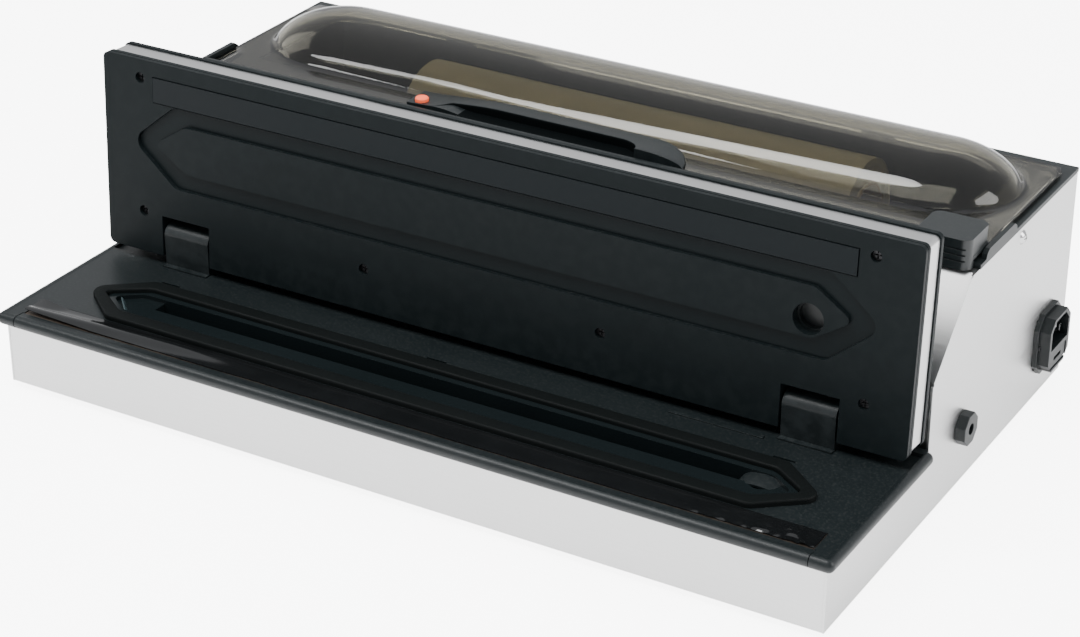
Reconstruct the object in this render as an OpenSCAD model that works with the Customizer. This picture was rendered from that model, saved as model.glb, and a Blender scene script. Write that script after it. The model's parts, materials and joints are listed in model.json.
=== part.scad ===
// Countertop vacuum sealer: a steel body, a hinged sealing lid over the sealing
// bed, and behind it a bag-roll compartment under a clear cover with a cutter.
// Z = 0 is the surface under the feet, X = Y = 0 is the middle of the
// footprint, and +Y points to the back. It stands with its lid open.
// Inside place() a shape is drawn in body axes: Y = 0 is the front panel's
// face and Z = 0 is the underside of the base.

/* [Body] */
// Width over the steel side panels
body_w = 490; // [465:1:600]
// Depth of the deck that holds the bag roll
deck_d = 146.8; // [135:0.1:180]
// Height of the front panel
front_h = 35; // [32:1:44]
// Height of the side panels under the deck
side_h = 119; // [112:1:150]
// Height at which the side panels start to slope back
slope_z = 77; // [72:1:92]
// Thickness of the steel sheet
sheet_t = 1.2; // [0.8:0.1:1.6]
// Height of the rubber feet
foot_h = 4; // [3:0.5:8]

/* [Sealing bed] */
// How far the bed's bead stands out past the steel
bead_out = 4.5; // [4:0.1:7]
// Radius of the bead
bead_r = 3.55; // [3.4:0.05:4]
// Height of the bed's top over the front panel
bed_rise = 6.8; // [6:0.1:7]
// Width of the gasket's foam
gasket_w = 9; // [6:0.5:10]
// Height of the gasket over the bed
gasket_rise = 3.2; // [2:0.1:3.4]
// Width of the heat-seal tape
tape_w = 16; // [12:0.5:17]

/* [Lid] */
// Height of the lid from its hinge edge to its front edge
lid_h = 113.7; // [105:0.1:140]
// Thickness of the lid's inner plate
lid_inner_t = 5.8; // [5:0.1:7]
// Thickness of the steel band round the lid
lid_band_t = 13; // [11:0.1:16]
// Thickness of the lid's outer plate
lid_outer_t = 2.95; // [2:0.05:4]
// How far the open lid leans back from upright, in degrees
lid_lean = 3.2; // [0:0.1:6]
// Gap between the closed lid and the bed
lid_gap = 1.2; // [0.8:0.1:2]
// Radius of the hinge pins
pin_r = 2.5; // [2:0.1:3]

/* [Roll compartment] */
// Diameter of the bag roll
roll_d = 64; // [50:1:66]
// Length of the bag roll
roll_l = 280; // [220:1:300]
// Height of the clear cover's dome over its flange
dome_h = 19.5; // [18:0.5:26]
// Thickness of the clear cover
cover_t = 2.5; // [2:0.1:3]

/* [Controls and inlet] */
// Radius of a control button
button_r = 8; // [6:0.5:9]
// Travel of a control button
button_travel = 1.5; // [1:0.1:2]
// Width of the mains inlet's housing
inlet_w = 34; // [32:1:38]
// Height of the mains inlet's housing
inlet_h = 36; // [34:1:40]
// How far the inlet stands out of the side panel
inlet_out = 9; // [6:0.5:9.5]
// Radius of the accessory hose port's bore
port_bore_r = 3; // [2.5:0.1:4]

/* [Hidden] */
$fn = 48;

half_w = body_w / 2;
fit = 0.3;                                   // clearance between moving pieces
hair = 0.05;                                 // running fit of a pin
over = 1;                                    // how far a cut runs past a face
arc_steps = 6;                               // facets of a rounded corner
side_round = 8;                              // rounding of the chamber's four side corners
lid_t = lid_inner_t + lid_band_t + lid_outer_t;
bed_top = front_h + bed_rise;

// The lid's hinge. Its axis lies inside the lid, near its lower edge.
lid_overhang = 4;
hinge_up = 7.75;
hinge_in = 11.45;
hinge_y = lid_h - lid_overhang - hinge_up;
hinge_z = bed_top + lid_gap + hinge_in;
lid_y0 = hinge_y - hinge_up * sin(lid_lean) - hinge_in * cos(lid_lean);
lid_z0 = hinge_z - hinge_up * cos(lid_lean) + hinge_in * sin(lid_lean);

// The body's side outline follows the lid: a low front, a step, a slope, a deck.
step_y = lid_h - lid_overhang + 7.5;
slope_y = step_y + side_h - slope_z;
body_d = slope_y + deck_d;
mid_y = (body_d - bead_out) / 2;
deck_t = 2.5;
deck_y = slope_y + 9;
deck_top = side_h + deck_t;
flange_top = deck_top + cover_t;
fascia_in = 3.5;

// The vacuum chamber's outline is a long hexagon, the same in bed and lid: its
// reach each way, half its depth, how long its points are and how round.
chamber_end = half_w - 22.8;
chamber_half = 23.3;
chamber_point = 29;
chamber_tip = 7;
inner_point = 21;
inner_tip = 3;
gasket_end_w = 10.4;
chamber_y = lid_h - lid_overhang - 66.1;
trough_end = chamber_end - gasket_end_w - 3;
trough_half = chamber_half - gasket_w - 2.3;
trough_point = 14;
trough_tip = 3;
shelf_drop = 1.5;
shelf_y = 1.5;
channel_end = trough_end - 30;
rim_rise = lid_gap - 0.4;
bed_slot_x = half_w - 57;
bed_slot_y = chamber_y + chamber_half + 4;
bed_slot_w = 1.4;
trough_z = front_h - 13;
wall = 2;
tape_y = 12;
bar_half = half_w - 9;
wire_half = half_w - 33;
intake_x = half_w - 58;
intake_y = lid_h - lid_overhang - 62;
intake_r = 5.5;

// Hinge blocks and the notches that clear them.
block_x = half_w - 54;
block_w = 30;
notch_w = block_w + 2;
notch_h = 24;
pocket_depth = 3;

// Lid features, from its hinge edge.
lid_half = half_w - 0.5;
band_in = 0.8;
seam_depth = 0.5;
seam_w = 0.5;
band_wall = 1.2;
lid_screw_r = 3;
screw_ledge = 1.2;
screw_head = 2.2;
lid_screw_x = half_w - 25.5;
lid_screw_mid_x = 72.5;
lid_screw_low = 24.5;
lid_screw_high = lid_h - 10.7;
groove_half = chamber_half + 0.7;
groove_end = chamber_end + 4;
groove_depth = gasket_rise - lid_gap + 0.4;
strip_half = half_w - 34.5;
strip_w = 14;
strip_mid = lid_h - lid_overhang - tape_y;
strip_proud = 0.5;
port_r = 8.4;

// Roll compartment.
well_half = half_w - 24;
well_y0 = deck_y + 38;
well_y1 = body_d - 12;
well_mid = (well_y0 + well_y1) / 2;
well_floor = side_h - 61;
roll_z = well_floor + wall + roll_d / 2 + fit;
core_r = 19;
dome_half = half_w - 12;
dome_end = 46;
dome_sink = 8;
dome_k = sqrt(1 - pow(dome_sink / (dome_h + dome_sink), 2));
cover_half = half_w - 3;
cover_y1 = body_d - 10;
cover_pivot_y = body_d - 5;
cover_pivot_z = side_h - 2;
rib_l = 42;
rib_h = 5;
lug_r = 3.5;
lug_w = 8;
lug_gap = 20;
lug_x = half_w - 110;
cover_pin_r = 1.6;

// Cutter: a rail on the cover's front edge and a slider that clips round it.
rail_y0 = deck_y - 2.2;
rail_y1 = rail_y0 + 20;
rail_top = flange_top + 2.5;
slot_y = rail_y0 + 12;
slot_w = 2.2;
slider_w = 30;
slider_top = rail_top + 10;
slider_y0 = rail_y0 - 6;
slider_y1 = rail_y1 + 1.5;
slider_x = half_w - 3 - slider_w;

// Handle on the cover, left of the middle.
handle_x0 = -107;
handle_x1 = 67;
handle_y0 = slider_y1 + 1.5;
handle_y1 = well_y0 + 2.3;
handle_h = 6;
handle_pocket_x0 = handle_x0 + 30;
handle_pocket_x1 = handle_x1 - 29;
handle_band = 11.5;
cover_button_x = -100;
cover_button_y = handle_y0 + 5.5;
cover_button_r = 4;

// Controls on the fascia's slope.
panel_w = 250;
panel_h = 40;
panel_t = 2;
button_pitch = 42;
button_t = 5;
button_proud = 2;
button_under = button_t - panel_t - button_proud;

// Mains inlet and hose port in the right side panel.
inlet_y = body_d - 30;
inlet_z = 33;
inlet_cut_y = 28;
inlet_cut_z = 30;
socket_w = 24;
socket_h = 16;
socket_z = inlet_z + 6;
fuse_z = inlet_z - 9.5;
fuse_w = 22;
fuse_h = 9;
port_y = lid_h + 45.5;
port_z = 34;
port_w = 17;
port_out = 6;
port_in = 14;

// Screws through the side panels into the deck, and the transformer inside.
case_screw_y = body_d - 79;
case_screw_z = side_h - 6.5;
trafo_x = -half_w + 60;
trafo_y = body_d - 62;

// Pump, fan and valve behind the step.
pump_x = 10;
pump_y = step_y + 42;
pump_z = 34;
motor_r = 24;
motor_l = 76;
rotor_r = 17;
shaft_r = 2;
head_l = 44;
fan_x = -150;
fan_z = 30;
fan_size = 40;
fan_t = 10;
valve_x = half_w - 100;
valve_y = step_y + 60;
valve_z = 22;

steel = [0.86, 0.86, 0.86];
black = [0.13, 0.15, 0.16];
dark = [0.07, 0.08, 0.08];
copper = [0.72, 0.45, 0.2];

// ---- Shared shapes ----

module place() translate([0, -mid_y, foot_h]) children();

// Lid axes: X across, Y back from the inner face, Z up from the hinge edge.
module at_lid() place() translate([0, lid_y0, lid_z0]) rotate([-lid_lean, 0, 0]) children();

// Slope axes: X across, Y up the slope, Z out of it, origin mid-slope.
module on_slope() {
    mid = (side_h - slope_z) / 2;
    translate([0, step_y + mid + fascia_in, slope_z + mid]) rotate([45, 0, 0]) children();
}

module at_slope() place() on_slope() children();

module box(x, y, z) translate([x[0], y[0], z[0]]) cube([x[1] - x[0], y[1] - y[0], z[1] - z[0]]);

// A flat outline with round corners, its lower left corner at the origin.
module rounded(w, d, r) {
    translate([r, 0]) square([w - 2 * r, d]);
    translate([0, r]) square([w, d - 2 * r]);
    for (x = [r, w - r], y = [r, d - r]) translate([x, y]) circle(r);
}

function unit(v) = v / norm(v);

// The points of an arc of radius r that rounds off the corner b between a and c.
function fillet(a, b, c, r) =
    let (u = unit(a - b), w = unit(c - b), half = acos(u * w) / 2)
    let (centre = b + unit(u + w) * r / sin(half), first = b + u * r / tan(half) - centre,
         last = b + w * r / tan(half) - centre)
    [for (i = [0 : arc_steps]) centre + r * unit(first + (last - first) * i / arc_steps)];

// An outline through [x, y, radius] corners, each rounded off by its radius.
function rounded_plan(corners) =
    let (n = len(corners), flat = [for (c = corners) [c[0], c[1]]])
    [for (i = [0 : n - 1]) each fillet(flat[(i + n - 1) % n], flat[i], flat[(i + 1) % n], corners[i][2])];

// The chamber's hexagon, its two points rounded by the radius tip.
module chamber_outline(end, half, point, tip) polygon(rounded_plan([
    [-end, 0, tip], [-end + point, half, side_round], [end - point, half, side_round],
    [end, 0, tip], [end - point, -half, side_round], [-end + point, -half, side_round]
]));

module along_x(r, x0, x1, y, z) translate([x0, y, z]) rotate([0, 90, 0]) cylinder(r = r, h = x1 - x0);

module side_outline() polygon([
    [0, 0], [body_d, 0], [body_d, side_h], [slope_y, side_h],
    [step_y, slope_z], [step_y, front_h], [0, front_h]
]);

module side_plate(x0) translate([x0, 0, 0]) rotate([90, 0, 90]) linear_extrude(sheet_t) side_outline();

// ---- Steel case ----

module base_plate() color(steel) place() difference() {
    box([-half_w + sheet_t, half_w - sheet_t], [sheet_t, body_d - sheet_t], [0, sheet_t]);
    for (i = [0 : 9]) box([-60 + 14 * i, -53 + 14 * i], [step_y + 20, step_y + 70],
        [-over, sheet_t + over]);
    foot_places() translate([0, 0, -over]) cylinder(r = 2, h = sheet_t + 2 * over);
}

module foot_places() for (x = [-half_w + 28, half_w - 28], y = [24, body_d - 24]) translate([x, y, 0])
    children();

module front_panel() color(steel) place()
    box([-half_w + sheet_t, half_w - sheet_t], [0, sheet_t], [0, front_h]);

module left_side_panel() color(steel) place() difference() {
    side_plate(-half_w);
    relief_holes(-half_w);
    along_x(2, -half_w - over, -half_w + sheet_t + over, case_screw_y, case_screw_z);
    for (i = [0 : 7]) box([-half_w - over, -half_w + sheet_t + over],
                          [body_d - 100 + 8 * i, body_d - 96 + 8 * i], [16, 44]);
}

module right_side_panel() color(steel) place() difference() {
    side_plate(half_w - sheet_t);
    relief_holes(half_w - sheet_t);
    along_x(2, half_w - sheet_t - over, half_w + over, case_screw_y, case_screw_z);
    along_x(5 + fit, half_w - sheet_t - over, half_w + over, port_y, port_z);
    box([half_w - sheet_t - over, half_w + over],
        [inlet_y - inlet_cut_y / 2 - fit, inlet_y + inlet_cut_y / 2 + fit],
        [inlet_z - inlet_cut_z / 2 - fit, inlet_z + inlet_cut_z / 2 + fit]);
}

module relief_holes(x) for (p = [[step_y, slope_z], [slope_y, side_h]])
    along_x(1.2, x - over, x + sheet_t + over, p[0], p[1]);

module rear_panel() color(steel) place() difference() {
    box([-half_w + sheet_t, half_w - sheet_t], [body_d - sheet_t, body_d], [0, side_h]);
    for (i = [0 : 5]) box([fan_x - 17 + 6 * i, fan_x - 13 + 6 * i],
                          [body_d - sheet_t - over, body_d + over], [fan_z - 16, fan_z + 16]);
    for (s = [-1, 1]) knuckle_notch(s * lug_x, cover_pivot_z, side_h + over);
}

// Bent sheet: an upright, the 45 degree slope and a flat strip under the deck.
module fascia_panel() color(steel) place() difference() {
    y0 = step_y + fascia_in;
    y1 = slope_y + fascia_in;
    s = sheet_t;
    translate([-half_w + sheet_t, 0, 0]) rotate([90, 0, 90]) linear_extrude(body_w - 2 * sheet_t) polygon([
        [y0, front_h - 6], [y0 + s, front_h - 6], [y0 + s, slope_z - s / 2], [y1 + s / 2, side_h - s],
        [deck_y + 5, side_h - s], [deck_y + 5, side_h], [y1, side_h], [y0, slope_z]
    ]);
    fascia_cutout();
}

module fascia_cutout() on_slope()
    for (i = [0 : 3]) translate([button_x(i), 0, -3]) cylinder(r = button_r + 1, h = 6);

module feet() color(dark) place() foot_places() translate([0, 0, -foot_h]) difference() {
    union() {
        cylinder(r = 9, h = foot_h);
        translate([0, 0, foot_h - 0.5]) cylinder(r = 1.9, h = sheet_t + 2);
    }
    translate([0, 0, -over]) cylinder(r = 3, h = over + 1.5);
}

// ---- Sealing bed ----

module bead_rod() {
    bead_z = front_h + bead_r;
    side_x = half_w + bead_out - bead_r;
    front_y = bead_r - bead_out;
    back_y = step_y - 5;
    for (x = [-side_x, side_x]) {
        translate([x, front_y, bead_z]) rotate([-90, 0, 0]) cylinder(r = bead_r, h = back_y - front_y);
        translate([x, back_y, bead_z]) sphere(bead_r);
        translate([x, front_y, bead_z]) sphere(bead_r);
    }
    along_x(bead_r, -side_x, side_x, front_y, bead_z);
}

module sealing_bed() color(black) place() difference() {
    union() {
        box([-half_w - 0.8, half_w + 0.8], [-0.8, step_y - 1.6], [front_h + 0.4, bed_top]);
        bead_rod();
        translate([0, chamber_y, trough_z]) linear_extrude(front_h - trough_z + 2)
            chamber_outline(trough_end + wall, trough_half + wall, trough_point, trough_tip + wall);
        box([-half_w + 2, half_w - 2], [sheet_t + 1.5, step_y - 3], [front_h - 6, front_h + 1]);
        box([block_x - 74, block_x - 21], [hinge_y - 18, hinge_y - 15.5],
            [bed_top - 1, bed_top + lid_gap - 0.5]);
    }
    box([-half_w + 4, half_w - 4], [sheet_t + 3.5, chamber_y - trough_half - 4],
        [front_h - 7, front_h - 1]);
    box([-half_w + 4, half_w - 4], [chamber_y + trough_half + 4, step_y - 5], [front_h - 7, front_h - 1]);
    translate([0, chamber_y, trough_z + wall]) linear_extrude(bed_top)
        chamber_outline(trough_end, trough_half, trough_point, trough_tip);
    box([-bar_half, bar_half], [tape_y - tape_w / 2, tape_y + tape_w / 2], [front_h, bed_top + over]);
    box([-bar_half - 1, bar_half + 1], [-bead_out - over, tape_y - tape_w / 2 + 0.1],
        [front_h - over, bed_top + over]);
    lid_sweep_recess();
    for (s = [-1, 1]) {
        box([s * bed_slot_x - 6, s * bed_slot_x + 6], [bed_slot_y, bed_slot_y + bed_slot_w],
            [bed_top - 2, bed_top + over]);
    }
    box([-20, -8], [bed_slot_y, bed_slot_y + bed_slot_w], [bed_top - 2, bed_top + over]);
    translate([intake_x, intake_y, trough_z - over]) cylinder(r = 3, h = 8);
    for (s = [-1, 1]) box([s * block_x - block_w / 2, s * block_x + block_w / 2],
                          [hinge_y - 14.5, hinge_y + 10], [bed_top - pocket_depth, bed_top + over]);
}

// Room for the lid's lower edge, which dips below the bed's top as it swings.
module lid_sweep_recess() box([-half_w - 0.2, half_w + 0.2], [hinge_y - 8.5, hinge_y + 8.5],
                              [bed_top - 2, bed_top + over]);

// The separate strip that carries the bead in front of the seal bar.
module bed_front_strip() color(black) place() difference() {
    union() {
        along_x(bead_r, -bar_half - 0.7, bar_half + 0.7, bead_r - bead_out, front_h + bead_r);
        box([-bar_half - 0.7, bar_half + 0.7], [-0.8, tape_y - tape_w / 2], [front_h + 0.4, bed_top]);
    }
}

module seal_bar() color([0.25, 0.22, 0.2]) place() box([-bar_half + 0.2, bar_half - 0.2],
    [tape_y - tape_w / 2 + 0.2, tape_y + tape_w / 2 - 0.2], [front_h + 0.1, bed_top - 0.5]);

module heating_wires() color("silver") place() for (y = [-2.6, 2.6])
    box([-wire_half, wire_half], [tape_y + y - 1.1, tape_y + y + 1.1], [bed_top - 0.5, bed_top - 0.3]);

module seal_tape() color(dark) place() box([-bar_half + 0.3, bar_half - 0.3],
    [tape_y - tape_w / 2 + 0.3, tape_y + tape_w / 2 - 0.3], [bed_top - 0.28, bed_top + 0.02]);

module bed_gasket() color(dark) place() translate([0, chamber_y, bed_top]) linear_extrude(gasket_rise)
    difference() {
    chamber_outline(chamber_end, chamber_half, chamber_point, chamber_tip);
    chamber_outline(chamber_end - gasket_end_w, chamber_half - gasket_w, inner_point, inner_tip);
}

// Lift-out liner of the trough: a rim on the bed, a shelf along the front and a
// deep channel along the back. It is open where the intake stands up through it.
module drip_tray() color(black) place() difference() {
    union() {
        translate([0, chamber_y, trough_z + wall]) linear_extrude(bed_top - trough_z - wall + 0.1)
            chamber_outline(trough_end - 0.6, trough_half - 0.4, trough_point, trough_tip);
        translate([0, chamber_y, bed_top + 0.02]) linear_extrude(rim_rise)
            chamber_outline(chamber_end - gasket_end_w - 0.8, chamber_half - gasket_w - 0.5, inner_point,
                inner_tip);
    }
    translate([0, chamber_y, bed_top - shelf_drop]) linear_extrude(shelf_drop + 2 * over)
        chamber_outline(trough_end - 3, trough_half - 2, trough_point, trough_tip);
    box([-channel_end, channel_end], [chamber_y + shelf_y, chamber_y + trough_half - 2],
        [trough_z + wall + 1.5, bed_top]);
    translate([intake_x, intake_y, trough_z]) cylinder(r = intake_r + 0.6, h = bed_top);
}

module vacuum_intake() color(black) place() translate([intake_x, intake_y, 0]) difference() {
    union() {
        translate([0, 0, trough_z + wall]) cylinder(r = intake_r, h = bed_top - trough_z - wall + 1.5);
        translate([0, 0, trough_z - 9]) cylinder(r = 2.9, h = 12);
    }
    translate([0, 0, trough_z - 9 - over]) cylinder(r = 1.6, h = bed_top);
    for (a = [0, 90]) translate([0, 0, bed_top - 2]) rotate([0, 0, a])
        translate([-intake_r - over, -1, 0]) cube([2 * intake_r + 2 * over, 2, 1.6]);
}

module hinge_blocks() color(black) place() for (s = [-1, 1])
    translate([s * block_x - block_w / 2 + 0.2, 0, 0]) rotate([90, 0, 90]) linear_extrude(block_w - 0.4)
        difference() {
        union() {
            translate([hinge_y - 11, bed_top - pocket_depth]) square([20.8, 9]);
            translate([hinge_y - 14.3, bed_top - pocket_depth]) square([24, pocket_depth + lid_gap - 0.4]);
            translate([hinge_y - 11, bed_top]) square([20.8, 18]);
            translate([hinge_y - 5, bed_top + 10]) square([9, 14]);
            translate([hinge_y - 5, bed_top + 18]) circle(6);
            translate([hinge_y + 3.8, bed_top + 18]) circle(6);
        }
        translate([hinge_y, hinge_z]) circle(pin_r + hair);
    }

// ---- Lid ----

module lid_hinge_pins() color("silver") place() for (s = [-1, 1])
    along_x(pin_r, s * block_x - block_w / 2 - 7, s * block_x + block_w / 2 + 7, hinge_y, hinge_z);

// An outline in the lid's plane, pulled in by inset, extruded from n0 to n1.
module lid_slab(inset, n0, n1, r) translate([-lid_half + inset, n1, inset]) rotate([90, 0, 0])
    linear_extrude(n1 - n0) rounded(2 * (lid_half - inset), lid_h - 2 * inset, r);

module lid_notches() for (s = [-1, 1])
    box([s * block_x - notch_w / 2, s * block_x + notch_w / 2], [-over, lid_t + over], [-over, notch_h]);

module lid_screw_places() {
    for (x = [-lid_screw_x, lid_screw_x], z = [lid_screw_low, lid_screw_high])
        translate([x, 0, z]) rotate([-90, 0, 0]) children();
    for (x = [-lid_screw_mid_x, lid_screw_mid_x]) translate([x, 0, lid_screw_low]) rotate([-90, 0, 0])
        children();
}

module lid_groove() translate([0, groove_depth, hinge_up + hinge_y - chamber_y]) rotate([90, 0, 0])
    linear_extrude(groove_depth + over) difference() {
        chamber_outline(groove_end, groove_half, chamber_point, chamber_tip);
        chamber_outline(chamber_end - gasket_end_w - 1, chamber_half - gasket_w - 0.5, inner_point,
            inner_tip);
    }

// A fine groove round the inner plate's edge.
module lid_seam() difference() {
    lid_slab(-over, (lid_inner_t - seam_w) / 2, (lid_inner_t + seam_w) / 2, 4);
    lid_slab(seam_depth, 0, lid_inner_t, 3);
}

module lid_inner_plate() color(black) at_lid() difference() {
    union() {
        lid_slab(0, 0, lid_inner_t, 3.5);
        difference() {
            lid_slab(band_in + band_wall + 0.15, lid_inner_t - 0.01, lid_inner_t + lid_band_t, 2);
            lid_slab(band_in + band_wall + 2.5, lid_inner_t - 1, lid_inner_t + lid_band_t + over, 1);
        }
        for (s = [-1, 1]) box([s * block_x - notch_w / 2 - 7, s * block_x + notch_w / 2 + 7],
            [lid_inner_t - 0.01, lid_inner_t + lid_band_t], [band_in + band_wall + 0.15, notch_h + 4]);
    }
    lid_notches();
    lid_groove();
    lid_seam();
    translate([-strip_half - 0.5, -over, strip_mid - strip_w / 2 - 0.5])
        cube([2 * strip_half + 1, over + 2, strip_w + 1]);
    lid_screw_places() {
        translate([0, 0, -over]) cylinder(r = lid_screw_r, h = over + lid_inner_t - screw_ledge);
        cylinder(r = 1.6, h = lid_inner_t + over);
    }
    translate([intake_x, -over, 62]) rotate([-90, 0, 0]) cylinder(r = port_r, h = lid_inner_t + 2 * over);
    along_x(pin_r, -block_x - block_w / 2 - 7, -block_x + block_w / 2 + 7, hinge_in, hinge_up);
    along_x(pin_r, block_x - block_w / 2 - 7, block_x + block_w / 2 + 7, hinge_in, hinge_up);
}

module lid_band() color(steel) at_lid() difference() {
    lid_slab(band_in, lid_inner_t, lid_inner_t + lid_band_t, 3);
    lid_slab(band_in + band_wall, lid_inner_t - over, lid_inner_t + lid_band_t + over, 2);
    lid_notches();
}

module lid_outer_plate() color(black) at_lid() difference() {
    union() {
        lid_slab(0, lid_inner_t + lid_band_t, lid_t, 3.5);
        lid_screw_places() translate([0, 0, lid_inner_t + 0.2]) cylinder(r = 3.8, h = lid_band_t);
    }
    lid_notches();
    lid_screw_places() translate([0, 0, lid_inner_t]) cylinder(r = 1.4, h = 10);
}

module lid_seal_strip() color(dark) at_lid() box([-strip_half, strip_half], [-strip_proud, 1.9],
    [strip_mid - strip_w / 2, strip_mid + strip_w / 2]);

module lid_screws() color(dark) at_lid() lid_screw_places() difference() {
    union() {
        translate([0, 0, lid_inner_t - screw_ledge - screw_head])
            cylinder(r = lid_screw_r - 0.2, h = screw_head);
        translate([0, 0, lid_inner_t - screw_ledge - 0.5]) cylinder(r = 1.3, h = 9);
    }
    for (a = [0, 90]) rotate([0, 0, a]) translate([-2, -0.4, lid_inner_t - screw_ledge - screw_head - over])
        cube([4, 0.8, over + 1]);
}

module lid_port_cup() color(dark) at_lid() translate([intake_x, lid_inner_t, 62]) rotate([-90, 0, 0])
    difference() {
    cylinder(r = port_r + 1.5, h = 5);
    translate([0, 0, -over]) cylinder(r = port_r - 1, h = over + 3.5);
}

// ---- Deck and roll compartment ----

module deck_frame() color(black) place() difference() {
    union() {
        box([-half_w - 0.4, half_w + 0.4], [deck_y, body_d], [side_h, deck_top]);
        for (s = [-1, 1]) {
            translate([s * (half_w - 1), deck_y + 7, 0]) side_rib();
            for (d = [-1, 1]) translate([s * lug_x + d * (lug_gap + lug_w) / 2, 0, 0]) cover_lug(lug_w);
        }
        box([-half_w + 2, half_w - 2], [slot_y - 2.8, slot_y + 3], [side_h - 4, side_h + 1]);
    }
    box([-well_half, well_half], [well_y0, well_y1], [side_h - over, deck_top + over]);
    box([-cover_half + 8, cover_half - 4], [slot_y - slot_w / 2, slot_y + slot_w / 2],
        [side_h - 3, deck_top + over]);
    cover_pivot_bore();
    for (s = [-1, 1]) knuckle_notch(s * lug_x, side_h - over, deck_top + over);
}

// The way through the deck's or the rear panel's edge for a knuckle of the cover.
module knuckle_notch(x, z0, z1) box([x - lug_gap / 2, x + lug_gap / 2], [cover_y1, body_d + over],
    [z0, z1]);

// A raised rounded rail at the deck's edge, beside the cutter's end stop.
module side_rib() translate([-1.4, 0, deck_top - 0.5]) rotate([90, 0, 90]) linear_extrude(2.8) polygon([
    [0, 0], [rib_l, 0], [rib_l - 1, 3], [rib_l - 4, rib_h], [4, rib_h], [1, 3]
]);

// An ear of the cover's hinge, hanging under the deck and bored for its pin.
module cover_lug(w) translate([-w / 2, 0, 0]) rotate([90, 0, 90]) linear_extrude(w) {
    translate([cover_pivot_y, cover_pivot_z]) circle(lug_r);
    translate([cover_pivot_y - lug_r, cover_pivot_z]) square([2 * lug_r, side_h + 0.5 - cover_pivot_z]);
}

module cover_pivot_bore() along_x(cover_pin_r + hair, -half_w, half_w, cover_pivot_y, cover_pivot_z);

module roll_well() color(black) place() difference() {
    box([-well_half + 0.2, well_half - 0.2], [well_y0 + 0.2, well_y1 - 0.2], [well_floor, deck_top - 0.5]);
    box([-well_half + wall, well_half - wall], [well_y0 + wall, well_y1 - wall],
        [well_floor + wall, deck_top + over]);
}

module roll_core() color([0.6, 0.46, 0.3]) place() difference() {
    along_x(core_r, -roll_l / 2 + 9, roll_l / 2 + 9, well_mid, roll_z);
    along_x(core_r - 1.5, -roll_l / 2, roll_l / 2 + 18, well_mid, roll_z);
}

module bag_roll() color([0.75, 0.72, 0.66]) place() difference() {
    along_x(roll_d / 2, -roll_l / 2 + 9.5, roll_l / 2 + 8.5, well_mid, roll_z);
    along_x(core_r, -roll_l / 2, roll_l / 2 + 18, well_mid, roll_z);
}

// The dome is the top of a long ellipsoid whose middle lies under the flange.
module dome(inset) hull() for (s = [-1, 1])
    translate([s * (dome_half - dome_end), well_mid, flange_top - dome_sink])
        scale([dome_end / dome_k - inset, ((well_y1 - well_y0) / 2 - 3) / dome_k - inset,
               dome_h + dome_sink - inset] / 10)
            sphere(10, $fn = 40);

module roll_cover() color([0.45, 0.42, 0.38, 0.45]) place() difference() {
    union() {
        box([-cover_half, cover_half], [rail_y0 + 1, cover_y1], [deck_top, flange_top]);
        intersection() {
            dome(0);
            box([-half_w, half_w], [0, body_d], [deck_top + 0.3, 2 * side_h]);
        }
        for (s = [-1, 1]) translate([s * lug_x, 0, 0]) cover_knuckle(lug_gap - 2 * fit);
    }
    dome(cover_t);
    cutter_slot(deck_top, flange_top);
    cover_pivot_bore_tight();
}

// The slot that the cutter's blade runs in.
module cutter_slot(z0, z1) box([-cover_half + 8, cover_half - 4],
    [slot_y - slot_w / 2, slot_y + slot_w / 2],
                               [z0 - over, z1 + over]);

// The cover's half of its hinge dips behind the deck's rear edge and round the pin.
module cover_knuckle(w) {
    r = lug_r - fit;
    along_x(r, -w / 2, w / 2, cover_pivot_y, cover_pivot_z);
    translate([-w / 2 + 0.5, 0, 0]) rotate([90, 0, 90]) linear_extrude(w - 1) polygon([
        [cover_y1 - 4, deck_top + 0.2], [cover_y1 + fit, deck_top + 0.2],
        [cover_pivot_y - r + 0.5, cover_pivot_z + 0.5], [cover_pivot_y - 0.7, cover_pivot_z + 0.3],
        [cover_pivot_y + 0.4, cover_pivot_z + r - 0.3], [cover_y1 - 4, flange_top - 0.3]
    ]);
}

module cover_pivot_bore_tight() along_x(cover_pin_r, -half_w, half_w, cover_pivot_y, cover_pivot_z);

module cover_hinge_pins() color("silver") place() for (s = [-1, 1])
    along_x(cover_pin_r, s * lug_x - lug_gap / 2 - lug_w, s * lug_x + lug_gap / 2 + lug_w,
            cover_pivot_y, cover_pivot_z);

// The handle is where a side profile and a plan outline meet, less a finger
// pocket that opens to the front.
module cover_handle() color(black) place() difference() {
    intersection() {
        translate([0, handle_y1 + over, flange_top]) rotate([90, 0, 0])
            linear_extrude(handle_y1 - handle_y0 + 2 * over) polygon([
                [handle_x0, 0], [handle_x1, 0], [handle_x1, 2.2], [handle_x1 - 7, 4.4],
                    [handle_x1 - 24, handle_h],
                [handle_pocket_x0 + 26, handle_h], [handle_pocket_x0, 3.8], [handle_x0, 2.2]
            ]);
        translate([0, 0, flange_top - over]) linear_extrude(handle_h + 2 * over)
            polygon(rounded_plan([[handle_x0, handle_y0, 1], [handle_x0, handle_y1, 2],
                                 [handle_x1, handle_y1, 17], [handle_x1, handle_y0, 1]]));
    }
    translate([0, 0, flange_top + 1.2]) linear_extrude(handle_h)
        polygon(rounded_plan([[handle_pocket_x0, handle_y0 - over, 0.2],
                             [handle_pocket_x0, handle_y1 - handle_band, 3],
                             [handle_pocket_x1, handle_y1 - handle_band, 6],
                             [handle_pocket_x1, handle_y0 - over, 0.2]]));
    translate([cover_button_x, cover_button_y, flange_top - over])
        cylinder(r = cover_button_r + fit, h = handle_h + 2);
}

module cover_button() color([0.88, 0.33, 0.22]) place()
    translate([cover_button_x, cover_button_y, flange_top + 2])
    cylinder(r = cover_button_r, h = 2.4);

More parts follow.
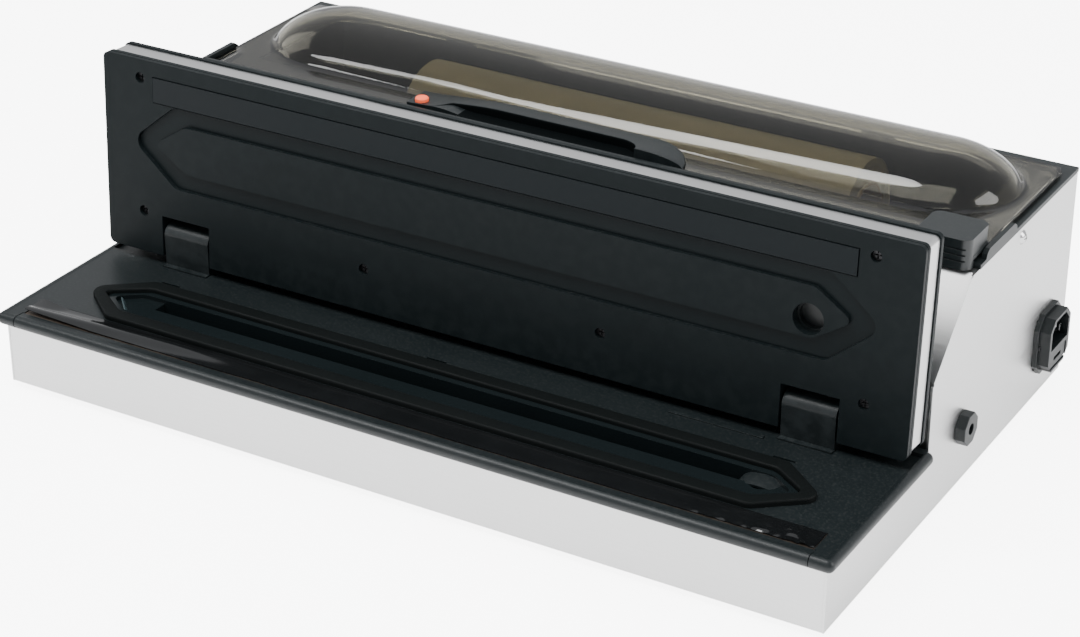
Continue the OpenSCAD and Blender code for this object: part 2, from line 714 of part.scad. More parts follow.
// ---- Bag cutter ----

module cutter_rail() color(black) place() difference() {
    box([-cover_half, cover_half], [rail_y0, rail_y1], [flange_top, rail_top]);
    cutter_slot(flange_top, rail_top);
    box([-cover_half + 2, cover_half - 2], [slot_y + 3, slot_y + 5], [rail_top - 1, rail_top + over]);
}

module cutter_slider() color(black) place() difference() {
    translate([slider_x, slider_y0, side_h + 1]) linear_extrude(slider_top - side_h - 1)
        rounded(slider_w, slider_y1 - slider_y0, 5);
    box([slider_x - over, slider_x + slider_w + over], [rail_y0 - fit, rail_y1 + fit],
        [flange_top - fit, rail_top + fit]);
    box([slider_x - over, slider_x + slider_w + over], [rail_y0 + 0.7, slider_y1 + over],
        [side_h, flange_top + fit]);
    for (i = [0 : 2]) box([slider_x - over, slider_x + slider_w + over],
        [slider_y0 - over, slider_y0 + 0.8],
        [flange_top + 0.5 + 3.2 * i, flange_top + 1.3 + 3.2 * i]);
}

module cutter_blade() color("silver") place() translate([slider_x + slider_w / 2, slot_y, 0])
    rotate([90, 0, 0]) translate([0, 0, -0.3]) linear_extrude(0.6) polygon([
        [-5, side_h - 1.5], [5, side_h - 1.5], [9, rail_top + 3], [-9, rail_top + 3]
    ]);

// ---- Controls ----

function button_x(i) = (i - 1.5) * button_pitch;

module control_panel() color(dark) at_slope() difference() {
    translate([-panel_w / 2, -panel_h / 2, 0]) linear_extrude(panel_t) rounded(panel_w, panel_h, 6);
    for (i = [0 : 3]) translate([button_x(i), 0, -over])
        cylinder(r = button_r + fit, h = panel_t + 2 * over);
    for (i = [0 : 3]) translate([button_x(i), 13.5, -over]) cylinder(r = 1.5, h = panel_t + 2 * over);
}

module button_cap(i, colour) color(colour) at_slope()
    translate([button_x(i), 0, panel_t + button_proud - button_t])
    difference() {
        cylinder(r = button_r, h = button_t);
        translate([0, 0, -over]) cylinder(r = button_r - 2, h = over + 2);
    }

module start_button() button_cap(0, "silver");
module seal_button() button_cap(1, "silver");
module pulse_button() button_cap(2, "silver");
module stop_button() button_cap(3, "silver");

module indicator_lights() color([0.3, 0.7, 0.3]) at_slope()
    for (i = [0 : 3]) translate([button_x(i), 13.5, 0]) cylinder(r = 1.5, h = panel_t + 0.3);

module key_board() color([0.1, 0.35, 0.2]) at_slope() {
    translate([-panel_w / 2 + 20, -16, -12]) cube([panel_w - 40, 32, 1.6]);
    for (i = [0 : 3]) translate([button_x(i) - 3, -3, -10.5])
        cube([6, 6, 10.5 - button_under - button_travel - fit]);
}

// ---- Right side: mains inlet and hose port ----

module chamfered(w, h, c) polygon([
    [-w / 2 + c, -h / 2], [w / 2 - c, -h / 2], [w / 2, -h / 2 + c], [w / 2, h / 2 - c],
    [w / 2 - c, h / 2], [-w / 2 + c, h / 2], [-w / 2, h / 2 - c], [-w / 2, -h / 2 + c]
]);

// Inlet axes: X along the body's depth, Y up, Z out of the side panel.
module at_inlet(z) place() translate([half_w, inlet_y, z]) rotate([90, 0, 90]) children();

module power_inlet() color(dark) difference() {
    at_inlet(inlet_z) {
        linear_extrude(3) chamfered(inlet_w, inlet_h, 7);
        translate([0, 0, 2.9]) linear_extrude(inlet_out - 2.9) chamfered(inlet_w - 4, inlet_h - 4, 6);
        translate([-inlet_cut_y / 2, -inlet_cut_z / 2, -22]) cube([inlet_cut_y, inlet_cut_z, 23]);
    }
    at_inlet(socket_z) translate([0, 0, inlet_out - 17]) linear_extrude(30) polygon([
        [-socket_w / 2, -socket_h / 2], [socket_w / 2, -socket_h / 2], [socket_w / 2, socket_h / 2 - 5],
        [socket_w / 2 - 5, socket_h / 2], [-socket_w / 2 + 5, socket_h / 2],
            [-socket_w / 2, socket_h / 2 - 5]
    ]);
    at_inlet(fuse_z) translate([-fuse_w / 2 - fit, -fuse_h / 2 - fit, inlet_out - 24])
        cube([fuse_w + 2 * fit, fuse_h + 2 * fit, 40]);
}

module inlet_pins() color("silver") at_inlet(socket_z) {
    for (x = [-7, 7]) translate([x - 1, -4, inlet_out - 17]) cube([2, 4, 14]);
    translate([-1, 1, inlet_out - 17]) cube([2, 4, 14]);
}

module fuse_drawer() color(black) at_inlet(fuse_z) difference() {
    translate([-fuse_w / 2, -fuse_h / 2, inlet_out - 23]) cube([fuse_w, fuse_h, 22.5]);
    translate([-5, -1, inlet_out - 2]) cube([10, 2, 4]);
    translate([-fuse_w / 2 + 1.5, -fuse_h / 2 + 1.5, inlet_out - 20]) cube([fuse_w - 3, fuse_h, 14]);
}

module accessory_port() color(dark) place() difference() {
    union() {
        translate([half_w, port_y, port_z]) rotate([90, 0, 90]) linear_extrude(port_out)
            chamfered(port_w, port_w, 5);
        along_x(5, half_w - port_in, half_w + 0.1, port_y, port_z);
    }
    along_x(port_bore_r, half_w - port_in + 4, half_w + port_out + over, port_y, port_z);
    along_x(1.5, half_w - port_in - over, half_w - port_in + 5, port_y, port_z);
}

module case_screws() color("silver") place() for (s = [-1, 1])
    translate([s * half_w, case_screw_y, case_screw_z]) rotate([0, s * 90, 0]) difference() {
        rotate_extrude() {
            intersection() {
                translate([0, -2.4]) circle(4.6);
                square([4, 3]);
            }
            translate([0, -9]) square([1.9, 9.5]);
        }
        for (a = [0, 90]) rotate([0, 0, a]) translate([-2.2, -0.4, 1.2]) cube([4.4, 0.8, 3]);
    }

// ---- Inside ----

module transformer_core() color([0.4, 0.4, 0.42]) place() difference() {
    box([trafo_x - 30, trafo_x + 30], [trafo_y - 12, trafo_y + 12], [sheet_t, sheet_t + 50]);
    for (s = [-1, 1]) box([trafo_x + s * 15 - 5, trafo_x + s * 15 + 5], [trafo_y - 13, trafo_y + 13],
                          [sheet_t + 10, sheet_t + 40]);
}

module transformer_coil() color(copper) place() difference() {
    box([trafo_x - 19.5, trafo_x + 19.5], [trafo_y - 21, trafo_y + 21], [sheet_t + 11, sheet_t + 39]);
    box([trafo_x - 10, trafo_x + 10], [trafo_y - 12.2, trafo_y + 12.2], [sheet_t + 10, sheet_t + 40]);
}

module circuit_board() color([0.1, 0.35, 0.2]) place() {
    board_y = step_y + 16;
    box([-170, -50], [board_y, board_y + 60], [8, 9.6]);
    for (x = [-160, -60], y = [6, 54]) translate([x, board_y + y, sheet_t]) cylinder(r = 3, h = 7);
    for (x = [-140, -120, -100]) translate([x, board_y + 18, 9.5]) cylinder(r = 6, h = 16);
    box([-150, -120], [board_y + 34, board_y + 52], [9.5, 22]);
    box([-100, -72], [board_y + 36, board_y + 50], [9.5, 16]);
}

module pump_housing() color([0.5, 0.5, 0.52]) place() difference() {
    union() {
        along_x(motor_r, pump_x, pump_x + motor_l, pump_y, pump_z);
        box([pump_x + motor_l - 1, pump_x + motor_l + head_l], [pump_y - 22, pump_y + 22],
            [pump_z - 20, pump_z + 36]);
        along_x(3, pump_x + motor_l + head_l - 1, pump_x + motor_l + head_l + 10, pump_y - 10, pump_z + 24);
    }
    along_x(motor_r - 4, pump_x + 4, pump_x + motor_l - 4, pump_y, pump_z);
    along_x(shaft_r + hair, pump_x - over, pump_x + motor_l + 4, pump_y, pump_z);
    along_x(14, pump_x + motor_l + 3, pump_x + motor_l + head_l - 4, pump_y, pump_z);
    along_x(1.5, pump_x + motor_l + head_l - 6, pump_x + motor_l + head_l + 10 + over, pump_y - 10,
        pump_z + 24);
}

module pump_rotor() color(copper) place() {
    along_x(rotor_r, pump_x + 8, pump_x + motor_l - 8, pump_y, pump_z);
    along_x(shaft_r, pump_x - 4, pump_x + motor_l + 34, pump_y, pump_z);
    along_x(9, pump_x + motor_l + 12, pump_x + motor_l + 24, pump_y, pump_z + 3);
}

module pump_bracket() color(steel) place() difference() {
    union() {
        box([pump_x - 4, pump_x + motor_l + head_l], [pump_y - 30, pump_y + 30], [sheet_t, sheet_t + 1.5]);
        box([pump_x + 6, pump_x + motor_l - 6], [pump_y - 14, pump_y + 14],
            [sheet_t + 1.4, pump_z - motor_r + 3]);
        box([pump_x + motor_l, pump_x + motor_l + head_l - 2], [pump_y - 20, pump_y + 20],
            [sheet_t + 1.4, pump_z - 20.1]);
    }
    along_x(motor_r + 0.1, pump_x, pump_x + motor_l - 2, pump_y, pump_z);
}

// A bent tube through a list of points, with a ball at each corner.
module tube(points, r) for (i = [0 : len(points) - 2]) {
    a = points[i];
    b = points[i + 1];
    run = norm(b - a);
    tilt = acos((b[2] - a[2]) / run);
    turn = atan2(b[1] - a[1], b[0] - a[0]);
    translate(a) rotate([0, tilt, turn]) cylinder(r = r, h = run);
    if (i > 0) translate(a) sphere(r);
}

module vacuum_hose() color(dark) place() {
    x0 = pump_x + motor_l + head_l + 10;
    tube([[x0, pump_y - 10, pump_z + 24], [intake_x, pump_y - 10, pump_z + 24], [intake_x, pump_y - 10, 8],
          [intake_x, intake_y, 8], [intake_x, intake_y, trough_z - 9]], 3);
}

module accessory_hose() color(dark) place()
    tube([[half_w - port_in, port_y, port_z], [valve_x + 40, port_y, port_z],
        [valve_x + 40, port_y, valve_z],
          [valve_x + 40, valve_y, valve_z], [valve_x + 18, valve_y, valve_z]], 2.5);

module vent_valve() color([0.3, 0.3, 0.32]) place() difference() {
    union() {
        box([valve_x - 14, valve_x + 14], [valve_y - 10, valve_y + 10], [sheet_t, valve_z + 10]);
        along_x(2.5, valve_x + 13, valve_x + 18, valve_y, valve_z);
    }
    translate([valve_x, valve_y, valve_z - 6]) cylinder(r = 4, h = 30);
}

module valve_plunger() color("silver") place() translate([valve_x, valve_y, valve_z - 3]) {
    cylinder(r = 4 - fit, h = 16);
    translate([0, 0, 15.5]) cylinder(r = 6, h = 2);
}

module fan_frame() color(dark) place() difference() {
    union() {
        difference() {
            box([fan_x - fan_size / 2, fan_x + fan_size / 2], [body_d - sheet_t - fan_t, body_d - sheet_t],
                [fan_z - fan_size / 2, fan_z + fan_size / 2]);
            translate([fan_x, body_d - sheet_t + over, fan_z]) rotate([90, 0, 0])
                cylinder(r = 18, h = fan_t + 2 * over);
        }
        for (a = [0, 60, 120]) translate([fan_x, body_d - sheet_t - 0.6, fan_z]) rotate([0, a, 0])
            cube([38, 1.2, 2.5], center = true);
        translate([fan_x, body_d - sheet_t, fan_z]) rotate([90, 0, 0]) cylinder(r = 5, h = 1.2);
        translate([fan_x, body_d - sheet_t, fan_z]) rotate([90, 0, 0]) cylinder(r = 1.2, h = fan_t - 1);
    }
}

module fan_rotor() color(black) place() translate([fan_x, body_d - sheet_t - 2, fan_z]) rotate([90, 0, 0])
    difference() {
        union() {
            cylinder(r = 8, h = fan_t - 3);
            for (i = [0 : 6]) rotate([0, 0, i * 360 / 7]) translate([7, -1, 0.5]) rotate([35, 0, 0])
                translate([0, 0, 0.8]) cube([10, 1, 6]);
        }
        translate([0, 0, -over]) cylinder(r = 1.2 + hair, h = fan_t + over);
    }

base_plate();
front_panel();
left_side_panel();
right_side_panel();
rear_panel();
fascia_panel();
feet();
sealing_bed();
bed_front_strip();
seal_bar();
heating_wires();
seal_tape();
bed_gasket();
drip_tray();
vacuum_intake();
hinge_blocks();
lid_hinge_pins();
lid_inner_plate();
lid_band();
lid_outer_plate();
lid_seal_strip();
lid_screws();
lid_port_cup();
deck_frame();
roll_well();
roll_core();
bag_roll();
roll_cover();
cover_hinge_pins();
cover_handle();
cover_button();
cutter_rail();
cutter_slider();
cutter_blade();
control_panel();
start_button();
seal_button();
pulse_button();
stop_button();
indicator_lights();
key_board();
power_inlet();
inlet_pins();
fuse_drawer();
accessory_port();
case_screws();
transformer_core();
transformer_coil();
circuit_board();
pump_housing();
pump_rotor();
pump_bracket();
vacuum_hose();
accessory_hose();
vent_valve();
valve_plunger();
fan_frame();
fan_rotor();
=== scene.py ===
"""Countertop vacuum sealer with an open sealing lid and a bag-roll compartment.

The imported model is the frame. This add-on gives its casings rounded edges, builds
the soft and moulded pieces that need it, and sets the materials, light and camera.
"""
import json
import math

import bmesh
import bpy
from bpy.props import FloatProperty, FloatVectorProperty, IntProperty, PointerProperty
from bpy.types import Operator, Panel, PropertyGroup
from mathutils import Matrix, Vector, noise


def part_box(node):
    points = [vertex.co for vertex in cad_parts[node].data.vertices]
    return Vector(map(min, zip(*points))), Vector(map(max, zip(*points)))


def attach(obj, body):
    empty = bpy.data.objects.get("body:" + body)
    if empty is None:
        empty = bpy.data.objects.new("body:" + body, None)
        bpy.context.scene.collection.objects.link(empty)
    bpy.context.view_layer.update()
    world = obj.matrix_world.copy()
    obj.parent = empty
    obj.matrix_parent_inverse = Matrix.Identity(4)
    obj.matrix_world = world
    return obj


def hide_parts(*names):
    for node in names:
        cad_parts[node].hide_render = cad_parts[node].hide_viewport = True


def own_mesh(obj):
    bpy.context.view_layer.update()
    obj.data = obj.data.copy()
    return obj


bl_info = {
    "name": "Countertop Vacuum Sealer",
    "version": (1, 0, 0),
    "blender": (4, 5, 0),
    "location": "3D View > Sidebar > Sealer",
    "description": "Builds the looks of a countertop vacuum sealer round its packed model",
    "category": "Object",
}

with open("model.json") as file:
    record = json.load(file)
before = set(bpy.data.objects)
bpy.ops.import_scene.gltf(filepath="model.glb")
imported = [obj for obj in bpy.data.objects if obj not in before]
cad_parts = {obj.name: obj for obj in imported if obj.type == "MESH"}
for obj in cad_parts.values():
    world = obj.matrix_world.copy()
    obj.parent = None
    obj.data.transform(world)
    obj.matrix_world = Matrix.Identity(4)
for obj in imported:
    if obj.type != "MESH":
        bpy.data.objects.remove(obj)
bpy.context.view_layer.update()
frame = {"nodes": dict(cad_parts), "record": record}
MM = 0.001
MIDDLE_Y = 150.75
FOOT_HEIGHT = 4.0
RECORD = frame["record"]
BODY_OF = {node: body for body, nodes in RECORD["behaviour"]["bodies"].items() for node in nodes}
SLOT_OF = {row["node"]: row["material_slot"] for row in RECORD["subparts"]}


# ---- properties

def number(name, description, subtype, default, low=0, high=None, unit="NONE"):
    """A number with a lowest value and, where it has one, a highest."""
    limits = {"min": low} if high is None else {"min": low, "max": high}
    return FloatProperty(name=name, description=description, subtype=subtype, unit=unit, default=default,
                         **limits)


def colour(name, description, default):
    return FloatVectorProperty(name=name, description=description, subtype="COLOR", default=default,
                               min=0, max=1)


def length(name, description, default, low, high=None):
    return number(name, description, "DISTANCE", default, low, high, "LENGTH")


def angle(name, description, degrees):
    return FloatProperty(name=name, description=description, subtype="ANGLE", default=math.radians(degrees))


class SealerFinishes(PropertyGroup):
    """Colours and roughness of the sealer's materials"""

    steel: colour("Steel", "Colour of the brushed panels", (0.80, 0.80, 0.795))
    steel_roughness: number("Steel roughness", "How matte the brushing is", "FACTOR", 0.33, high=1)
    plastic: colour("Plastic", "Colour of the black mouldings", (0.0035, 0.0056, 0.0062))
    plastic_roughness: number("Plastic roughness", "How matte the mouldings are", "FACTOR", 0.45, high=1)
    plastic_shine: number("Plastic shine", "Strength of the mouldings' reflection", "FACTOR", 0.1, high=1)
    cover: colour("Cover tint", "Tint of the smoked clear cover", (0.35, 0.335, 0.275))
    button: colour("Button", "Colour of the cover's push button", (0.95, 0.13, 0.05))
    film: colour("Bag film", "Colour of the rolled bag film", (0.52, 0.46, 0.32))


class SealerSizes(PropertyGroup):
    """Small sizes of the pieces that are built here"""

    casing_edge: length("Casing edge", "Rounding of the mouldings' edges", 0.0005, 0.0001, 0.002)
    sheet_edge: length("Sheet edge", "Rounding of the steel's cut edges", 0.00035, 0.0001, 0.001)
    foam_edge: length("Foam edge", "Rounding of the gasket's top edges", 0.0012, 0.0002, 0.002)
    tape_lift: length("Tape lift", "How far the tape's loose end stands up", 0.0026, 0, 0.004)
    roll_turns: IntProperty(name="Roll turns", description="Turns of film that show on the roll's ends",
                            default=9, min=3, max=16)


class SealerStage(PropertyGroup):
    """Camera and light"""

    azimuth: angle("Azimuth", "Camera's turn to the right of the front", 30.37)
    elevation: angle("Elevation", "Camera's height above the horizon", 27.33)
    roll: angle("Roll", "Camera's tilt about its line of sight", 0.08)
    distance: length("Distance", "Camera's distance from its target", 1.4801, 0.5)
    lens: number("Lens", "Focal length in millimetres on a 36 mm sensor", "NONE", 90.53, 20, 300)
    target: FloatVectorProperty(name="Target", description="Point that the camera looks at",
                                subtype="TRANSLATION", default=(0.0029, -0.00095, 0.0402))
    key_power: number("Key power", "Power of the large overhead softbox", "POWER", 26)
    fill_power: number("Fill power", "Power of the two side softboxes", "POWER", 11)
    cover_power: number("Cover power", "Power of the softboxes that the cover mirrors", "POWER", 6)
    surround: number("Surround", "Strength of the pale surroundings", "NONE", 0.85)
    floor_glow: number("Floor glow", "Light given off by the pale floor", "NONE", 0.45)


def finishes():
    return bpy.context.scene.sealer_finishes


def sizes():
    return bpy.context.scene.sealer_sizes


# ---- shader node groups

class Tree:
    """A short way to add nodes to a node tree and join their sockets."""

    def __init__(self, tree):
        self.tree = tree

    def add(self, kind, inputs=None, **settings):
        node = self.tree.nodes.new(kind)
        for key, value in settings.items():
            setattr(node, key, value)
        for key, value in (inputs or {}).items():
            if isinstance(value, bpy.types.NodeSocket):
                self.tree.links.new(value, node.inputs[key])
            else:
                node.inputs[key].default_value = value
        return node

    def link(self, source, target):
        self.tree.links.new(source, target)

    def maths(self, operation, first, second):
        return self.add("ShaderNodeMath", {0: first, 1: second}, operation=operation).outputs[0]

    def span(self, value, low, high, to_low, to_high):
        inputs = {"Value": value, "From Min": low, "From Max": high, "To Min": to_low, "To Max": to_high}
        return self.add("ShaderNodeMapRange", inputs).outputs["Result"]

    def noise(self, place, scale, detail, roughness):
        inputs = {"Vector": place, "Scale": scale, "Detail": detail, "Roughness": roughness}
        return self.add("ShaderNodeTexNoise", inputs).outputs["Fac"]

    def blend(self, factor, first, second):
        node = self.add("ShaderNodeMix", data_type="RGBA")
        for index, value in ((0, factor), (6, first), (7, second)):
            if isinstance(value, bpy.types.NodeSocket):
                self.link(value, node.inputs[index])
            else:
                node.inputs[index].default_value = value if index == 0 else rgba(value)
        return node.outputs[2]


def rgba(colour):
    return (*colour[:3], 1.0)


def toned(colour, factor, lift=0.0):
    """A colour times a factor, with an even lift, no lighter than white."""
    return tuple(min(1.0, channel * factor + lift) for channel in colour)


def shader_group(name, inputs, fill):
    """A node group, made once. fill takes its Tree and its inputs, and gives its outputs by name."""
    if name in bpy.data.node_groups:
        return bpy.data.node_groups[name]
    group = bpy.data.node_groups.new(name, "ShaderNodeTree")
    face = group.interface
    face.new_socket("Vector", in_out="INPUT", socket_type="NodeSocketVector")
    for label, default in inputs.items():
        face.new_socket(label, in_out="INPUT", socket_type="NodeSocketFloat").default_value = default
    tree = Tree(group)
    source = tree.add("NodeGroupInput")
    made = fill(tree, source.outputs)
    for label in made:
        face.new_socket(label, in_out="OUTPUT", socket_type="NodeSocketFloat")
    tree.add("NodeGroupOutput", made)
    return group


def moulded_grain():
    """Fine spark-eroded grain and slow unevenness, as moulded plastic has."""
    def fill(tree, source):
        return {"Grain": tree.noise(source["Vector"], source["Grain scale"], 3.0, 0.6),
                "Flow": tree.noise(source["Vector"], source["Flow scale"], 4.0, 0.55)}

    return shader_group("Moulded grain", {"Grain scale": 2600.0, "Flow scale": 14.0}, fill)


def brushed_lines():
    """Long fine lines along one axis, with slow bands across them."""
    def fill(tree, source):
        return {"Lines": tree.noise(source["Vector"], source["Line scale"], 4.0, 0.65),
                "Bands": tree.noise(source["Vector"], source["Band scale"], 2.0, 0.5)}

    return shader_group("Brushed lines", {"Line scale": 900.0, "Band scale": 6.0}, fill)


def worn_edges():
    """A mask of the convex edges, broken up by noise."""
    def fill(tree, source):
        shape = tree.add("ShaderNodeNewGeometry")
        edges = tree.span(shape.outputs["Pointiness"], 0.52, 0.62, 0.0, 1.0)
        broken = tree.span(tree.noise(source["Vector"], 160.0, 5.0, 0.5), 0.42, 0.62, 0.0, 1.0)
        return {"Mask": tree.maths("MULTIPLY", tree.maths("MULTIPLY", edges, broken), source["Amount"])}

    return shader_group("Worn edges", {"Amount": 0.3}, fill)


def settled_dust():
    """A faint mask of dust on what faces up."""
    def fill(tree, source):
        shape = tree.add("ShaderNodeNewGeometry")
        up = tree.add("ShaderNodeSeparateXYZ", {0: shape.outputs["Normal"]}).outputs["Z"]
        facing = tree.span(up, 0.3, 1.0, 0.0, 1.0)
        thin = tree.span(tree.noise(source["Vector"], 700.0, 6.0, 0.5), 0.5, 0.8, 0.0, 1.0)
        return {"Mask": tree.maths("MULTIPLY", tree.maths("MULTIPLY", facing, thin), source["Amount"])}

    return shader_group("Settled dust", {"Amount": 0.1}, fill)


# ---- materials

def new_material(name):
    """A material with a Principled BSDF, and the Tree to build on."""
    material = bpy.data.materials.new(name)
    material.use_nodes = True
    material.node_tree.nodes.clear()
    tree = Tree(material.node_tree)
    shader = tree.add("ShaderNodeBsdfPrincipled")
    output = tree.add("ShaderNodeOutputMaterial")
    tree.link(shader.outputs["BSDF"], output.inputs["Surface"])
    place = tree.add("ShaderNodeTexCoord").outputs["Object"]
    return material, tree, shader, place


def dressed(tree, shader, base, roughness, relief=None, **values):
    """Joins a colour, a roughness and a relief (height, strength, depth) to a shader."""
    tree.link(base, shader.inputs["Base Color"])
    tree.link(roughness, shader.inputs["Roughness"])
    if relief:
        height, strength, depth = relief
        bump = tree.add("ShaderNodeBump", {"Strength": strength, "Distance": depth, "Height": height})
        tree.link(bump.outputs["Normal"], shader.inputs["Normal"])
    for label, value in values.items():
        shader.inputs[label.replace("_", " ")].default_value = value


def grouped(tree, group, place, **inputs):
    """A group's outputs, its texture laid on by place."""
    node = tree.add("ShaderNodeGroup", node_tree=group)
    tree.link(place, node.inputs["Vector"])
    for label, value in inputs.items():
        node.inputs[label.replace("_", " ")].default_value = value
    return node.outputs


def moulded(name, colour, roughness, grain=2600.0, depth=0.00002, wear=0.25, dust=0.04, lift=1.35,
            shine=0.4):
    """Satin moulded plastic or rubber with grain, slow colour change, worn edges and a trace of dust."""
    material, tree, shader, place = new_material(name)
    texture = grouped(tree, moulded_grain(), place, Grain_scale=grain)
    edges = grouped(tree, worn_edges(), place, Amount=wear)
    specks = grouped(tree, settled_dust(), place, Amount=dust)
    base = tree.blend(texture["Flow"], colour, toned(colour, lift, 0.001))
    worn = tree.blend(edges["Mask"], base, toned(colour, 3, 0.02))
    dusty = tree.blend(specks["Mask"], worn, (0.35, 0.34, 0.32))
    satin = tree.span(texture["Flow"], 0.25, 0.75, roughness - 0.05, roughness + 0.06)
    dressed(tree, shader, dusty, satin, (texture["Grain"], 0.55, depth), Specular_IOR_Level=shine)
    return material


def brushed(name, colour, roughness, along):
    """Brushed stainless sheet. The lines run along the axes with the small scale."""
    material, tree, shader, place = new_material(name)
    stretch = tree.add("ShaderNodeMapping", {"Vector": place, "Scale": along}).outputs["Vector"]
    lines = grouped(tree, brushed_lines(), stretch)["Lines"]
    marks = grouped(tree, moulded_grain(), place, Grain_scale=90.0, Flow_scale=9.0)["Flow"]
    base = tree.blend(lines, toned(colour, 0.90), colour)
    handled = tree.blend(tree.span(marks, 0.4, 0.9, 0.0, 0.2), base, toned(colour, 0.93))
    mixed = tree.maths("ADD", tree.span(lines, 0.3, 0.7, -0.05, 0.06),
                       tree.span(marks, 0.3, 0.8, roughness, roughness + 0.06))
    dressed(tree, shader, handled, mixed, (lines, 0.35, 0.000012), Metallic=1.0, Anisotropic=0.3)
    return material


def polished(name, colour, roughness, metallic=1.0):
    """Bright or plated metal with faint handling marks."""
    material, tree, shader, place = new_material(name)
    marks = grouped(tree, moulded_grain(), place, Grain_scale=1200.0, Flow_scale=60.0)
    base = tree.blend(marks["Flow"], toned(colour, 0.85), colour)
    bright = tree.span(marks["Grain"], 0.3, 0.7, roughness * 0.8, roughness * 1.3)
    dressed(tree, shader, base, bright, (marks["Grain"], 0.2, 0.00001), Metallic=metallic)
    return material


def foam_material():
    """Closed-cell foam: matte, with fine open pores, painted darker in their hollows as painted shade."""
    material, tree, shader, place = new_material("Gasket foam")
    pores = tree.add("ShaderNodeTexVoronoi", {"Vector": place, "Scale": 1500.0})
    flow = grouped(tree, moulded_grain(), place, Grain_scale=600.0, Flow_scale=20.0)["Flow"]
    deep = tree.span(pores.outputs["Distance"], 0.0, 0.45, 0.0, 1.0)
    # The pores' hollows are darker in colour: painted shade in the pits.
    base = tree.blend(deep, (0.0008, 0.001, 0.001), (0.003, 0.004, 0.004))
    dressed(tree, shader, base, tree.span(flow, 0.3, 0.7, 0.52, 0.66), (deep, 0.5, 0.00012),
            Specular_IOR_Level=0.12)
    return material


def tape_material():
    """Glossy black glass-cloth tape with a faint weave."""
    material, tree, shader, place = new_material("Seal tape")
    threads = [tree.add("ShaderNodeTexWave", {"Vector": place, "Scale": 420.0}, bands_direction=axis)
               for axis in ("X", "Y")]
    weave = tree.maths("ADD", *[thread.outputs["Fac"] for thread in threads])
    flow = grouped(tree, moulded_grain(), place, Flow_scale=30.0)["Flow"]
    base = tree.blend(flow, (0.002, 0.0023, 0.0025), (0.006, 0.0065, 0.007))
    dressed(tree, shader, base, tree.span(flow, 0.3, 0.7, 0.1, 0.2), (weave, 0.25, 0.00002),
            Coat_Weight=0.3, Coat_Roughness=0.12)
    return material


def cover_material():
    """Smoked clear plastic: tinted, glossy and see-through."""
    material, tree, shader, place = new_material("Smoked clear cover")
    flow = grouped(tree, moulded_grain(), place, Grain_scale=30.0, Flow_scale=6.0)
    tint = finishes().cover
    base = tree.blend(flow["Flow"], toned(tint, 0.96), tint)
    dressed(tree, shader, base, tree.span(flow["Grain"], 0.3, 0.7, 0.03, 0.04),
            Transmission_Weight=1.0, IOR=1.49)
    return material


def film_material():
    """Rolled bag film: embossed in small diamonds, slightly milky."""
    material, tree, shader, place = new_material("Bag film")
    slant = (0.0, 0.0, math.radians(45))
    turned = tree.add("ShaderNodeMapping", {"Vector": place, "Rotation": slant}).outputs["Vector"]
    diamonds = tree.add("ShaderNodeTexChecker", {"Vector": turned, "Scale": 420.0}).outputs["Fac"]
    flow = grouped(tree, moulded_grain(), place, Grain_scale=500.0, Flow_scale=18.0)
    film = finishes().film
    base = tree.blend(flow["Flow"], toned(film, 0.75), film)
    dressed(tree, shader, base, tree.span(flow["Grain"], 0.3, 0.7, 0.28, 0.4), (diamonds, 0.15, 0.00005))
    return material


def board_material(name, light, dark, scale, roughness):
    """A dull fibrous material, such as paper board, winding or laminations."""
    material, tree, shader, place = new_material(name)
    fibres = grouped(tree, moulded_grain(), place, Grain_scale=scale, Flow_scale=scale / 20)
    base = tree.blend(fibres["Grain"], dark, light)
    dull = tree.span(fibres["Flow"], 0.3, 0.7, roughness, roughness + 0.1)
    dressed(tree, shader, base, dull, (fibres["Grain"], 0.4, 0.0001))
    return material


def lamp_material():
    """Tinted clear lens of an indicator lamp."""
    material, tree, shader, place = new_material("Lamp lens")
    flow = grouped(tree, moulded_grain(), place, Flow_scale=300.0)["Flow"]
    base = tree.blend(flow, (0.10, 0.32, 0.08), (0.18, 0.5, 0.13))
    dressed(tree, shader, base, tree.span(flow, 0.3, 0.7, 0.12, 0.2))
    return material


